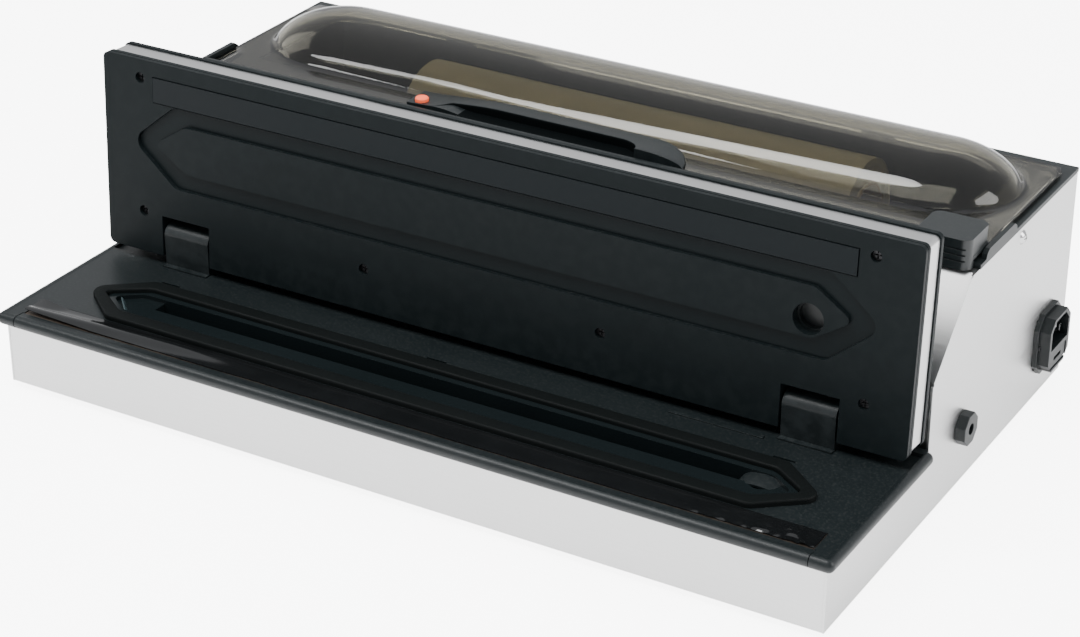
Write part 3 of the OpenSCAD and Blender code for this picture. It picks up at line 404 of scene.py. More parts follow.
def make_materials():
    """One material for each of the record's slots."""
    look = finishes()
    steel, plastic = tuple(look.steel), tuple(look.plastic)
    rough = look.plastic_roughness
    return {
        "brushed_steel": brushed("Brushed steel", steel, look.steel_roughness, (0.02, 0.02, 1.0)),
        "zinc_steel": polished("Zinc-plated steel", (0.5, 0.51, 0.53), 0.4),
        "black_plastic": moulded("Black moulding", plastic, rough, shine=look.plastic_shine),
        "satin_black": moulded("Satin black", plastic, rough - 0.08, depth=0.000008, shine=0.6),
        "bed_black": moulded("Bed moulding", plastic, rough - 0.05, depth=0.00001, shine=0.42),
        # Shaded black is the black plastic at a third of its colour: painted shade for the handle's pocket.
        "pocket_painted_shade": moulded("Shaded black", toned(plastic, 0.3), 0.7, wear=0.0, dust=0.0, shine=0.03),
        # Lit face is the black plastic six times lighter: painted light for the tray's tab.
        "tray_black": moulded("Glossy tray", plastic, 0.22, depth=0.000003, wear=0.0, dust=0.0, shine=0.3),
        "painted_lit_tab": moulded("Lit face", toned(plastic, 6), rough, shine=0.5),
        "black_fittings": moulded("Black fittings", toned(plastic, 0.8), rough - 0.06, depth=0.00001),
        "rubber": moulded("Rubber", (0.012, 0.012, 0.012), 0.7, grain=1500.0, depth=0.00005, wear=0.1,
                          dust=0.1),
        "foam": foam_material(),
        "silicone": moulded("Silicone strip", (0.005, 0.007, 0.008), 0.5, grain=1200.0, wear=0.0, dust=0.02,
                            shine=0.12),
        "tape": tape_material(),
        "bar_core": moulded("Seal bar core", (0.04, 0.03, 0.022), 0.6),
        "smoked_clear": cover_material(),
        "pin_steel": polished("Bright steel", (0.66, 0.66, 0.67), 0.22),
        "screw_steel": polished("Screw steel", (0.8, 0.8, 0.8), 0.12),
        "dark_screws": polished("Blackened screws", (0.03, 0.03, 0.032), 0.35, metallic=0.8),
        "orange_plastic": moulded("Button plastic", tuple(look.button), 0.32, wear=0.0, dust=0.0, lift=1.1),
        "button_plastic": moulded("Satin buttons", (0.42, 0.43, 0.44), 0.3, wear=0.05, dust=0.0, lift=1.05),
        "light_lens": lamp_material(),
        "cardboard": board_material("Paper board", (0.42, 0.28, 0.15), (0.30, 0.19, 0.10), 500.0, 0.8),
        "bag_film": film_material(),
        "circuit_green": board_material("Circuit board", (0.03, 0.14, 0.05), (0.02, 0.10, 0.035), 300.0,
                                        0.35),
        "core_steel": board_material("Laminations", (0.14, 0.14, 0.15), (0.07, 0.07, 0.075), 900.0, 0.5),
        "copper": board_material("Winding", (0.45, 0.17, 0.07), (0.28, 0.09, 0.04), 1400.0, 0.35),
        "pump_metal": polished("Cast housing", (0.40, 0.40, 0.42), 0.5),
        "rotor_metal": polished("Wound rotor", (0.42, 0.25, 0.12), 0.4),
        "valve_body": moulded("Valve body", (0.06, 0.06, 0.065), 0.5),
    }


MATERIALS = {}


# ---- mesh helpers

def finish_piece(piece, node_names, material=None, weighted=True):
    """Gives a piece its material, by default that of its first node's record slot, parents it to its body
    and hides the given CAD nodes.
    """
    first = node_names[0]
    piece.data.materials.clear()
    piece.data.materials.append(material or MATERIALS[SLOT_OF[first]])
    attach(piece, BODY_OF[first])
    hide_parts(*node_names)
    if weighted:
        normals = piece.modifiers.new("Weighted normals", "WEIGHTED_NORMAL")
        normals.keep_sharp = True
    return piece


def piece_from(bm, name, smooth=35):
    """A linked object from a bmesh, its faces smooth up to an angle."""
    mesh = bpy.data.meshes.new(name)
    bmesh.ops.recalc_face_normals(bm, faces=bm.faces)
    bm.to_mesh(mesh)
    bm.free()
    mesh.polygons.foreach_set("use_smooth", [True] * len(mesh.polygons))
    mesh.set_sharp_from_angle(angle=math.radians(smooth))
    piece = bpy.data.objects.new(name, mesh)
    bpy.context.scene.collection.objects.link(piece)
    return piece


def softened(node, edge, segments=2, angle=32, material=None):
    """A CAD casing's copy with its corners rounded off."""
    bm = bmesh.new()
    bm.from_mesh(frame["nodes"][node].data)
    bmesh.ops.remove_doubles(bm, verts=bm.verts, dist=2e-6)
    bmesh.ops.dissolve_limit(bm, angle_limit=math.radians(0.4), verts=bm.verts, edges=bm.edges)
    corners = [e for e in bm.edges if len(e.link_faces) == 2 and e.calc_face_angle(0) > math.radians(angle)]
    bmesh.ops.bevel(bm, geom=corners, offset=edge, offset_type="OFFSET", segments=segments, profile=0.6,
                    affect="EDGES", clamp_overlap=True, miter_outer="ARC", miter_inner="SHARP")
    return finish_piece(piece_from(bm, "soft_" + node), [node], material)


def lofted(rings, caps=True, looped=False):
    """A bmesh through rings of equal length. A looped one runs on from its last ring to its first."""
    bm = bmesh.new()
    loops = [[bm.verts.new(point) for point in ring] for ring in rings]
    count = len(rings[0])
    for low, high in zip(loops, loops[1:] + loops[:1] if looped else loops[1:]):
        for i in range(count):
            j = (i + 1) % count
            bm.faces.new((low[i], low[j], high[j], high[i]))
    if caps:
        bm.faces.new(list(reversed(loops[0])))
        bm.faces.new(loops[-1])
    return bm


def smoothstep(low, high, value):
    t = max(0.0, min(1.0, (value - low) / (high - low)))
    return t * t * (3 - 2 * t)


def lathe(profile, centre, axis, turns=48):
    """A turned bmesh: profile is (radius, height) pairs from the axis to the axis."""
    along = Vector(axis).normalized()
    side = along.orthogonal().normalized()
    across = along.cross(side)
    bm = bmesh.new()
    rings = []
    for radius, height in profile:
        base = Vector(centre) + along * height
        if radius < 1e-7:
            rings.append([bm.verts.new(base)])
        else:
            angles = [2 * math.pi * i / turns for i in range(turns)]
            spots = [base + side * radius * math.cos(turn) + across * radius * math.sin(turn)
                     for turn in angles]
            rings.append([bm.verts.new(spot) for spot in spots])
    for low, high in zip(rings, rings[1:]):
        for i in range(turns):
            j = (i + 1) % turns
            ring = [low[i % len(low)], low[j % len(low)], high[j % len(high)], high[i % len(high)]]
            corners = list(dict.fromkeys(ring))
            if len(corners) > 2:
                bm.faces.new(corners)
    return bm


def at(x, y, z):
    """A point given in millimetres from the front panel's foot, in the row frame."""
    return Vector((x, y - MIDDLE_Y, z + FOOT_HEIGHT)) * MM


def rounded_plan(corners, steps=8):
    """The outline through (x, y, radius) corners, each rounded off by its radius."""
    points = []
    for i, (x, y, radius) in enumerate(corners):
        here = Vector((x, y))
        to_last = (Vector(corners[i - 1][:2]) - here).normalized()
        to_next = (Vector(corners[(i + 1) % len(corners)][:2]) - here).normalized()
        half = to_last.angle(to_next) / 2
        centre = here + (to_last + to_next).normalized() * radius / math.sin(half)
        first = here + to_last * radius / math.tan(half) - centre
        last = here + to_next * radius / math.tan(half) - centre
        points += [centre + radius * first.lerp(last, k / steps).normalized() for k in range(steps + 1)]
    return points


def hexagon(end, half, point, tip, side=8.0):
    """The vacuum chamber's outline: a long hexagon with two rounded points."""
    return rounded_plan([(-end, 0, tip), (-end + point, half, side), (end - point, half, side),
                         (end, 0, tip), (end - point, -half, side), (-end + point, -half, side)])


def ring_between(outer, inner, profile, centre_y, base_z):
    """A closed ring whose section is a list of (share from outer to inner, height)."""
    rings = []
    for share, height in profile:
        rings.append([at(o.x + (i.x - o.x) * share, centre_y + o.y + (i.y - o.y) * share, base_z + height)
                      for o, i in zip(outer, inner)])
    return lofted(rings, caps=False, looped=True)


def extruded(section, x0, x1):
    """A bar along X with a section of (y, z) points."""
    return lofted([[at(x, y, z) for y, z in section] for x in (x0, x1)])


def box_between(low, high):
    """A box between two corners."""
    bm = bmesh.new()
    bmesh.ops.create_cube(bm, size=1.0)
    for vert in bm.verts:
        vert.co = Vector([low[k] + (vert.co[k] + 0.5) * (high[k] - low[k]) for k in range(3)])
    return bm


def cut_away(bm, tool):
    """A bmesh less another."""
    whole, cutter = piece_from(bm, "whole"), piece_from(tool, "cutter")
    cut = whole.modifiers.new("Cut", "BOOLEAN")
    cut.operation = "DIFFERENCE"
    cut.solver = "EXACT"
    cut.object = cutter
    mesh = bpy.data.meshes.new_from_object(whole.evaluated_get(bpy.context.evaluated_depsgraph_get()))
    left = bmesh.new()
    left.from_mesh(mesh)
    for thing in (whole, cutter):
        bpy.data.objects.remove(thing)
    bpy.data.meshes.remove(mesh)
    return left


def joined(bms):
    """One bmesh out of several."""
    whole = bmesh.new()
    for bm in bms:
        mesh = bpy.data.meshes.new("part")
        bm.to_mesh(mesh)
        bm.free()
        whole.from_mesh(mesh)
        bpy.data.meshes.remove(mesh)
    return whole


def repeated(part, count, step, material):
    """A row of copies of a small part, laid out by geometry nodes and made into one mesh."""
    group = bpy.data.node_groups.get("Row of parts") or row_of_parts()
    modifier = part.modifiers.new("Row", "NODES")
    modifier.node_group = group
    ids = {item.name: item.identifier for item in group.interface.items_tree if item.in_out == "INPUT"}
    modifier[ids["Count"]] = count
    modifier[ids["Step"]] = tuple(step)
    modifier[ids["Material"]] = material
    part.update_tag()
    evaluated = part.evaluated_get(bpy.context.evaluated_depsgraph_get())
    mesh = bpy.data.meshes.new_from_object(evaluated)
    part.modifiers.remove(modifier)
    part.data = mesh


def row_of_parts():
    """Geometry nodes that repeat a part along a straight line."""
    group = bpy.data.node_groups.new("Row of parts", "GeometryNodeTree")
    kinds = {"Geometry": "Geometry", "Count": "Int", "Step": "Vector", "Material": "Material"}
    for label, kind in kinds.items():
        group.interface.new_socket(label, in_out="INPUT", socket_type="NodeSocket" + kind)
    group.interface.new_socket("Geometry", in_out="OUTPUT", socket_type="NodeSocketGeometry")
    tree = Tree(group)
    source = tree.add("NodeGroupInput").outputs
    line = tree.add("GeometryNodeMeshLine", {"Count": source["Count"], "Offset": source["Step"]},
                    mode="OFFSET", count_mode="TOTAL")
    copies = tree.add("GeometryNodeInstanceOnPoints", {"Points": line.outputs["Mesh"],
                                                       "Instance": source["Geometry"]})
    real = tree.add("GeometryNodeRealizeInstances", {"Geometry": copies.outputs["Instances"]})
    coloured = tree.add("GeometryNodeSetMaterial", {"Geometry": real.outputs["Geometry"],
                                                    "Material": source["Material"]})
    tree.add("NodeGroupOutput", {"Geometry": coloured.outputs["Geometry"]})
    return group


def added(piece, body, slot, material=None):
    """A small piece that stands for no CAD node."""
    piece.data.materials.clear()
    piece.data.materials.append(material or MATERIALS[slot])
    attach(piece, body)
    return piece


# ---- sealing bed

BED_TOP = 41.8
CHAMBER_Y = 43.6
GASKET_HEIGHT = 3.2
GASKET_OUTSIDE = (222.2, 23.3, 29.0, 7.0)
GASKET_INSIDE = (211.8, 14.3, 21.0, 3.0)


def bed_gasket():
    """Foam ring with soft top edges and rounded points."""
    top = GASKET_HEIGHT
    edge = sizes().foam_edge / MM
    rise = [(0.0, 0.0), (0.0, top - edge), (0.02, top - edge * 0.5), (0.06, top - edge * 0.15), (0.12, top)]
    fall = [(0.88, top), (0.94, top - edge * 0.15), (0.98, top - edge * 0.5), (1.0, top - edge), (1.0, 0.0)]
    profile = [*rise, (0.5, 3.23), *fall]
    bm = ring_between(hexagon(*GASKET_OUTSIDE), hexagon(*GASKET_INSIDE), profile, CHAMBER_Y, BED_TOP)
    gasket = finish_piece(piece_from(bm, "foam_gasket", 40), ["bed_gasket"])


def tape_height(x, y, low, high):
    """Rise of the tape over the bar: a lifted left end, a creased right end and slow waves."""
    lifted, creased, creased_full, wave = 0.13, 0.10, 0.02, 0.00016
    across = (y - low.y) / (high.y - low.y)
    from_left = (x - low.x) / lifted
    ridge = math.exp(-((across - 0.15 - 0.55 * from_left) / 0.3) ** 2)
    ridge *= 1 - smoothstep(0.55, 1.25, from_left)
    curl = (1 - smoothstep(0.0, 0.16, from_left)) * (0.35 + 0.4 * across)
    slow = noise.noise(Vector((x * 38, y * 120, 0.4))) * wave + wave
    near_right = smoothstep(high.x - creased, high.x - creased_full, x)
    crease = abs(noise.noise(Vector((x * 150, y * 260, 7.1)))) * 0.0022 * near_right * (1 - 0.7 * across)
    return sizes().tape_lift * max(ridge, curl) + slow + crease


def seal_tape():
    """Glossy tape over the seal bar, loose at its left end and creased at its right."""
    low, high = (Vector(corner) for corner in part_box("seal_tape"))
    columns, rows, thick = 420, 12, 0.00025
    bm = bmesh.new()
    layers = []
    for lift in (0.0, thick):
        layer = []
        for i in range(columns + 1):
            x = low.x + (high.x - low.x) * i / columns
            edge = noise.noise(Vector((x * 40, 3.3, 0))) * 0.0003
            line = []
            for j in range(rows + 1):
                y = low.y + (high.y - low.y - 0.0004) * j / rows + 0.0002 + edge * (1 - j / rows)
                line.append(bm.verts.new((x, y, low.z + lift + tape_height(x, y, low, high))))
            layer.append(line)
        layers.append(layer)
    under, top = layers
    for i in range(columns):
        for j in range(rows):
            bm.faces.new((under[i][j], under[i][j + 1], under[i + 1][j + 1], under[i + 1][j]))
            bm.faces.new((top[i][j], top[i + 1][j], top[i + 1][j + 1], top[i][j + 1]))
        for j in (0, rows):
            bm.faces.new((under[i][j], under[i + 1][j], top[i + 1][j], top[i][j]))
    for j in range(rows):
        for i in (0, columns):
            bm.faces.new((under[i][j], top[i][j], top[i][j + 1], under[i][j + 1]))
    tape = finish_piece(piece_from(bm, "tape_strip", 50), ["seal_tape"])
    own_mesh(tape)


def intake_hood():
    """Smooth hood over the intake at the right end of the trough."""
    steps, wall = 16, 0.5
    middle_x, back_y, length = 187, 56.2, 12.5
    foot_z, widest, mouth, tallest = 36.6, 11.5, 0.6, 5.4

    def arch(y, half, rise, foot):
        return [at(middle_x + half * math.cos(math.pi * k / steps), y,
                   foot + rise * math.sin(math.pi * k / steps) ** 0.6) for k in range(steps + 1)]

    rings = []
    for step in range(steps + 1):
        share = step / steps
        y = back_y - length * share
        half = widest * math.sqrt(max(0.0, 1 - (1 - min(1.0, share * 3.2)) ** 2)) + mouth
        rise = tallest * (1 - 0.25 * share ** 2)
        inner = arch(y, half - wall, rise - wall, foot_z - 0.6)
        rings.append(arch(y, half, rise, foot_z) + inner[::-1])
    hood = piece_from(lofted(rings), "intake_hood", 50)
    finish_piece(hood, ["vacuum_intake"], MATERIALS["satin_black"])


def tray_tab():
    """Sloping finger tab at the left end of the tray, in a lighter copy of the black plastic as painted
    light.
    """
    top, foot, thick = 0.4, -3.4, 0.9
    inside, outside = Vector((-203.5, 2.0)), Vector((-190.5, -11.2))
    along = (outside - inside).normalized()
    across = Vector((-along.y, along.x))
    corners = []
    for share, height in ((0, top), (1, top), (1, foot), (0, foot)):
        lean = 1.4 if height == top else 3.6
        spot = inside + (outside - inside) * (0.08 + 0.84 * share) + across * lean
        corners.append((spot, height))
    sides = []
    for shift in (0.0, thick):
        sides.append([at(spot.x - across.x * shift, CHAMBER_Y + spot.y - across.y * shift, BED_TOP + height)
                      for spot, height in corners])
    bm = lofted(sides)
    bmesh.ops.bevel(bm, geom=list(bm.edges), offset=0.0003, segments=2, affect="EDGES", profile=0.6)
    # The tab takes the lighter copy of the black plastic: painted light, not its own colour.
    added(piece_from(bm, "tray_tab"), "tray", "black_plastic", MATERIALS["painted_lit_tab"])


# ---- cover and roll

FLANGE_TOP = 124.0
FLANGE_HALF = 241.8
DOME_MID = 250.1
FLANGE_FRONT = 167.2 - DOME_MID
FLANGE_BACK = 295.8 - DOME_MID
DOME_END = 46.0
DOME_STRAIGHT = 233.0 - DOME_END
DOME_DEPTH = 40.9
DOME_RISE = 19.5
DOME_SINK = 8.0
DOME_SHARES = (0.0, 0.06, 0.14, 0.23, 0.33, 0.43, 0.53, 0.62, 0.7, 0.77, 0.83, 0.88, 0.92, 0.95, 0.97)
FOOT_STEPS = ((0.0, 0.9), (0.06, 0.35), (0.14, 0.08), (0.25, 0.0), (0.6, 0.0), (0.97, 0.0), (1.0, -0.4))
COVER_WALL = 2.3
KNUCKLE_X = 135
KNUCKLE_HALF = 9.7
BUTTON_SPOT = (-100, 194.5)
HANDLE_FRONT = 189.0
HANDLE_BACK = 208.5
HANDLE_LEFT = -107.0
POCKET_END = 38.0
ROUNDED_END = 29.2


def dome_ring(share):
    """One outline of the dome. share is 0 on its crest and 1 where it meets the flange."""
    end_steps, side_steps = 28, 24
    points = []
    for side in (1, -1):
        for k in range(end_steps + 1):
            turn = -math.pi / 2 + math.pi * k / end_steps
            points.append((side * (DOME_STRAIGHT + DOME_END * share * math.cos(turn)),
                           side * DOME_DEPTH * share * math.sin(turn)))
        for k in range(1, side_steps):
            points.append((side * DOME_STRAIGHT * (1 - 2 * k / side_steps), side * DOME_DEPTH * share))
    return points


def dome_height(share):
    """Height of the dome over the flange: an ellipse whose foot is cut off a little above its widest."""
    lift = (DOME_RISE + DOME_SINK) * math.sqrt(max(0.0, 1 - (share * 0.957) ** 2)) - DOME_SINK
    return max(lift, 0.0)


def to_rectangle(x, y, grow):
    """The dome's foot stretched towards the flange's edge, grow from 0 to 1."""
    core = max(-DOME_STRAIGHT, min(DOME_STRAIGHT, x))
    away = x - core
    reaches = []
    if abs(away) > 1e-6:
        reaches.append((FLANGE_HALF - abs(core)) / abs(away))
    if abs(y) > 1e-6:
        reaches.append((FLANGE_BACK if y > 0 else FLANGE_FRONT) / y)
    spread = 1 + (min(reaches) - 1) * grow
    return core + away * spread, y * spread


def inset(value, amount):
    """A coordinate moved towards zero by an amount, and no further than zero."""
    return value - math.copysign(min(abs(value), amount), value)


def cover_layer(wall):
    """Rings of the outer face (wall 0) or the inner face of the clear cover, from crest to edge."""
    rings = []
    for share in DOME_SHARES:
        rings.append((share, [Vector((x, y, dome_height(share))) for x, y in dome_ring(share)]))
    for grow, height in FOOT_STEPS:
        rings.append((1.0, [Vector((*to_rectangle(x, y, grow), height)) for x, y in dome_ring(1.0)]))
    layer = []
    for share, ring in rings:
        moved = []
        for v in ring:
            x = inset(v.x, wall * share * 0.9) if abs(v.x) > DOME_STRAIGHT else v.x
            moved.append(Vector((x, inset(v.y, wall * share * 0.6), v.z - wall)))
        layer.append([at(v.x, DOME_MID + v.y, FLANGE_TOP + v.z) for v in moved])
    return layer


def roll_cover():
    """Clear cover: a long dome that runs out into a flat flange with a slot for the cutter."""
    bm = lofted(cover_layer(0) + list(reversed(cover_layer(COVER_WALL))), caps=False)
    bmesh.ops.remove_doubles(bm, verts=bm.verts, dist=1e-6)
    bmesh.ops.dissolve_degenerate(bm, edges=bm.edges, dist=1e-6)
    slot = box_between(at(-234, 176.9, 120), at(238, 179.1, 126))
    cover = piece_from(cut_away(bm, slot), "clear_cover", 30)
    finish_piece(cover, ["roll_cover"], weighted=False)


def cover_knuckles():
    """Two hinge knuckles round the pins, with a web up to the flange's rear edge."""
    pin_y, pin_z, radius = 301, 117, 3.2
    turns = [math.radians(degrees) for degrees in range(165, 451, 15)]
    section = [(pin_y + radius * math.cos(turn), pin_z + radius * math.sin(turn)) for turn in turns]
    section += [(296, 123.95), (292, 123.95), (292, 121.75), (296.3, 121.75)]
    bars = [extruded(section, x - KNUCKLE_HALF, x + KNUCKLE_HALF) for x in (-KNUCKLE_X, KNUCKLE_X)]
    knuckles = piece_from(joined(bars), "cover_knuckles", 35)
    finish_piece(knuckles, ["roll_cover"], MATERIALS["satin_black"])


def end_share(x, power):
    """Share of the handle's full size that its rounded right end still has at x."""
    return math.sqrt(max(0.0, 1 - max(0.0, (x - POCKET_END) / ROUNDED_END) ** power))


def handle_top(x):
    """Height of the handle's top over the flange."""
    left = 2.2 + 3.8 * smoothstep(HANDLE_LEFT, -50, x)
    return left * end_share(x, 2.2) + 0.25


def handle_section(x):
    """Section of the handle at x as (y, z) points, from its front foot round to its rear foot."""
    front, pocket, curved, floor_height = HANDLE_FRONT, 8.0, 13, 1.2
    rear = max(front + (HANDLE_BACK - front) * end_share(x, 2.4), front + 1.2)
    top = handle_top(x)
    opened = smoothstep(-92, -66, x) if x < POCKET_END else 0.0
    reach = math.sqrt(max(0.0, 1 - max(0.0, (x - (POCKET_END - curved)) / curved) ** 2))
    wall = front + max(0.06, pocket * reach * min(1.0, opened * 3))
    floor = top + (floor_height - top) * opened
    curve = min(1.6, (rear - wall) * 0.3, top * 0.5)
    inner = min(1.0, curve)
    points = [(front, 0.0), (front, floor * 0.8), (front + 0.02, floor)]
    points += [(front + (wall - front) * s, floor) for s in (0.35, 0.7, 0.95)]
    points += [(wall, floor + (top - floor - inner) * s) for s in (0.02, 0.3, 0.65, 1.0)]
    points += [(wall + inner * (1 - math.cos(a)), top - inner * (1 - math.sin(a)))
               for a in (0.5, 1.0, 1.5708)]
    points += [(wall + inner + (rear - curve - wall - inner) * s, top) for s in (0.33, 0.66)]
    points += [(rear - curve * (1 - math.sin(a)), top - curve * (1 - math.cos(a)))
               for a in (0.0, 0.45, 0.9, 1.35)]
    points += [(rear, (top - curve) * 0.5), (rear, 0.0)]
    return points


def cover_handle():
    """Low moulded handle with a finger pocket that opens to the front. The pocket's wall and floor are
    painted darker as painted shade.
    """
    stations = [-107.0, -106.8, -106.2] + [-105 + 2.0 * i for i in range(65)]
    stations += [25 + 0.65 * i for i in range(20)]
    stations += [37.8, 38.0, 38.2] + [39 + 1.0 * i for i in range(24)]
    stations += [63.5, 64.5, 65.3, 66.0, 66.5, 66.8, 67.0]
    rings = []
    for index, x in enumerate(sorted(set(stations))):
        shrink = (0.86, 0.96, 1.0)[min(index, 2)]
        rings.append([at(x, HANDLE_FRONT + (y - HANDLE_FRONT) * shrink + (1 - shrink) * 4,
                         FLANGE_TOP + 0.02 + z * shrink) for y, z in handle_section(x)])
    radius, deep = 4.3 * MM, 9 * MM
    hole = lathe([(0, 0), (radius, 0), (radius, deep), (0, deep)], at(*BUTTON_SPOT, 123.0), (0, 0, 1))
    handle = piece_from(cut_away(lofted(rings), hole), "pull_handle", 42)
    finish_piece(handle, ["cover_handle"], MATERIALS["satin_black"])
    # The pocket's wall and floor get the darker black as painted shade in the recess.
    handle.data.materials.append(MATERIALS["pocket_painted_shade"])
    corner = at(POCKET_END, HANDLE_FRONT + 0.6, FLANGE_TOP + 2.0)
    for face in handle.data.polygons:
        wall = face.normal.y < -0.4 and face.center.y > corner.y
        floor = face.normal.z > 0.8 and face.center.z < corner.z and face.center.x > -0.09
        if face.center.x < corner.x and (wall or floor):
            face.material_index = 1


def cover_button():
    """Domed round push button at the handle's left end."""
    profile = [(0, 0), (3.8, 0), (3.95, 0.3), (3.9, 2.2), (3.6, 2.7), (3.0, 3.05), (2.0, 3.3), (1.0, 3.42),
               (0, 3.45)]
    bm = lathe([(r * MM, h * MM) for r, h in profile], at(*BUTTON_SPOT, 125.8), (0, 0, 1))
    finish_piece(piece_from(bm, "push_button", 40), ["cover_button"])


def random_steps(count, seed):
    """Small repeatable offsets, one for each layer of film."""
    return [0.9 * abs(noise.noise(Vector((seed, k * 1.7, 0.3)))) for k in range(count)]


def roll_ring(centre, x, radius, ripple):
    """One turn of film round the roll's axis, ripple 0 for a true circle."""
    turns, start = 96, 1.9
    points = []
    for k in range(turns):
        angle = 2 * math.pi * k / turns
        slack = noise.noise(Vector((x * 0.02, math.cos(angle) * 2, math.sin(angle) * 2))) * 0.35 * ripple
        lap = 0.35 * ripple * (1 - k / turns)
        r = radius + slack + lap - 0.5 * ripple
        points.append(Vector((x * MM, centre.y + r * math.cos(angle + start) * MM,
                              centre.z + r * math.sin(angle + start) * MM)))
    return points


def bag_roll():
    """Rolled bag film: wound layers on its ends and a loose end along its back."""
    low, high, columns = -130.3, 148.3, 46
    core, first_layer, last_layer, outer = 19.1, 19.2, 31.6, 32.0
    centre = at(0, DOME_MID, 92.3)
    layers = sizes().roll_turns * 2
    spiral = random_steps(layers, 5)
    ends = []
    for side, x in ((-1, low), (1, high)):
        ends.append([roll_ring(centre, x + side * (offset - 0.9),
                               first_layer + (last_layer - first_layer) * k / (layers - 1), 0.4 * k / layers)
                     for k, offset in enumerate(spiral)])
    outside = [roll_ring(centre, low + (high - low) * k / columns, outer, 1.0) for k in range(columns + 1)]
    inside = [roll_ring(centre, low + (high - low) * k / 4, core, 0.0) for k in range(5)]
    loop = ends[0] + outside + list(reversed(ends[1])) + list(reversed(inside))
    roll = piece_from(lofted(loop, caps=False, looped=True), "film_roll", 40)
    finish_piece(roll, ["bag_roll"], weighted=False)


# ---- small parts

def small_screw(centre, axis, radius):
    """A domed screw head."""
    profile = [(0, 0), (radius, 0), (radius, 0.25), (radius * 0.86, 0.75), (radius * 0.5, 1.05), (0, 1.15)]
    return lathe([(r * MM, h * MM) for r, h in profile], centre, axis, turns=24)


def pressed_lip(low, high, name):
    """A thin pressed bead of the steel sheet between two corners."""
    bm = box_between(low, high)
    bmesh.ops.bevel(bm, geom=list(bm.edges), offset=min(high - low) * 0.45, segments=3, affect="EDGES",
                    profile=0.5)
    return piece_from(bm, name, 40)


def fittings():
    """Screws of the inlet's flange, the front corner's seam and the lips between the side vents."""
    screw_gap, slot_gap = 29.6 * MM, 8 * MM
    screws = piece_from(small_screw(at(248, 261.2, 33.0), (1, 0, 0), 1.5), "inlet_screws", 40)
    repeated(screws, 2, Vector((0, screw_gap, 0)), MATERIALS["dark_screws"])
    added(screws, "chassis", "dark_screws")
    seam = pressed_lip(at(244.7, -0.15, 1.0), at(245.15, 0.35, 34.0), "corner_seam")
    added(seam, "chassis", "brushed_steel")
    lips = pressed_lip(at(-245.45, 205.1, 17.0), at(-245.0, 205.9, 43.0), "side_vent_lips")
    repeated(lips, 8, Vector((0, slot_gap, 0)), MATERIALS["brushed_steel"])
    added(lips, "chassis", "brushed_steel")


class SealerBed(Operator):
    """Builds the foam gasket, the seal tape, the intake's hood and the tray's tab"""

    bl_idname = "sealer.bed"
    bl_label = "Sealing bed"

    def execute(self, context):
        bed_gasket()
        seal_tape()
        intake_hood()
        tray_tab()
        return {"FINISHED"}


class SealerCover(Operator):
    """Builds the clear cover, its knuckles, handle and button, and the bag roll"""

    bl_idname = "sealer.cover"
    bl_label = "Cover and roll"

    def execute(self, context):
        roll_cover()
        cover_knuckles()
        cover_handle()
        cover_button()
        bag_roll()
        softened("cutter_slider", 0.0009, segments=3, material=MATERIALS["satin_black"])
        return {"FINISHED"}


class SealerFittings(Operator):
    """Builds the inlet's screws, the corner seam and the vents' lips, and rounds the buttons"""

    bl_idname = "sealer.fittings"
    bl_label = "Fittings"

    def execute(self, context):
        fittings()
        for node in ("start_button", "seal_button", "pulse_button", "stop_button"):
            softened(node, 0.0008, segments=3)
        return {"FINISHED"}


# ---- operators

class SealerMaterials(Operator):
    """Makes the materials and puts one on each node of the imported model"""

    bl_idname = "sealer.materials"
    bl_label = "Materials"

    def execute(self, context):
        MATERIALS.update(make_materials())
        for node, thing in frame["nodes"].items():
            thing.data.materials.clear()
            thing.data.materials.append(MATERIALS[SLOT_OF[node]])
        return {"FINISHED"}


CASINGS = (
    "lid_inner_plate", "lid_outer_plate", "roll_well", "power_inlet", "fuse_drawer", "accessory_port",
    "control_panel", "feet",
)
SHEETS = ("base_plate", "front_panel", "left_side_panel", "right_side_panel", "rear_panel", "fascia_panel",
          "lid_band")


class SealerCasings(Operator):
    """Rounds the edges of the steel sheets and the moulded casings"""

    bl_idname = "sealer.casings"
    bl_label = "Casings"

    def execute(self, context):
        for node in CASINGS:
            softened(node, sizes().casing_edge)
        softened("drip_tray", 0.0003, segments=3, material=MATERIALS["tray_black"])
        for node in ("sealing_bed", "bed_front_strip", "hinge_blocks", "cutter_rail", "deck_frame"):
            softened(node, sizes().casing_edge, material=MATERIALS["bed_black"])
        for node in SHEETS:
            softened(node, sizes().sheet_edge)
        return {"FINISHED"}


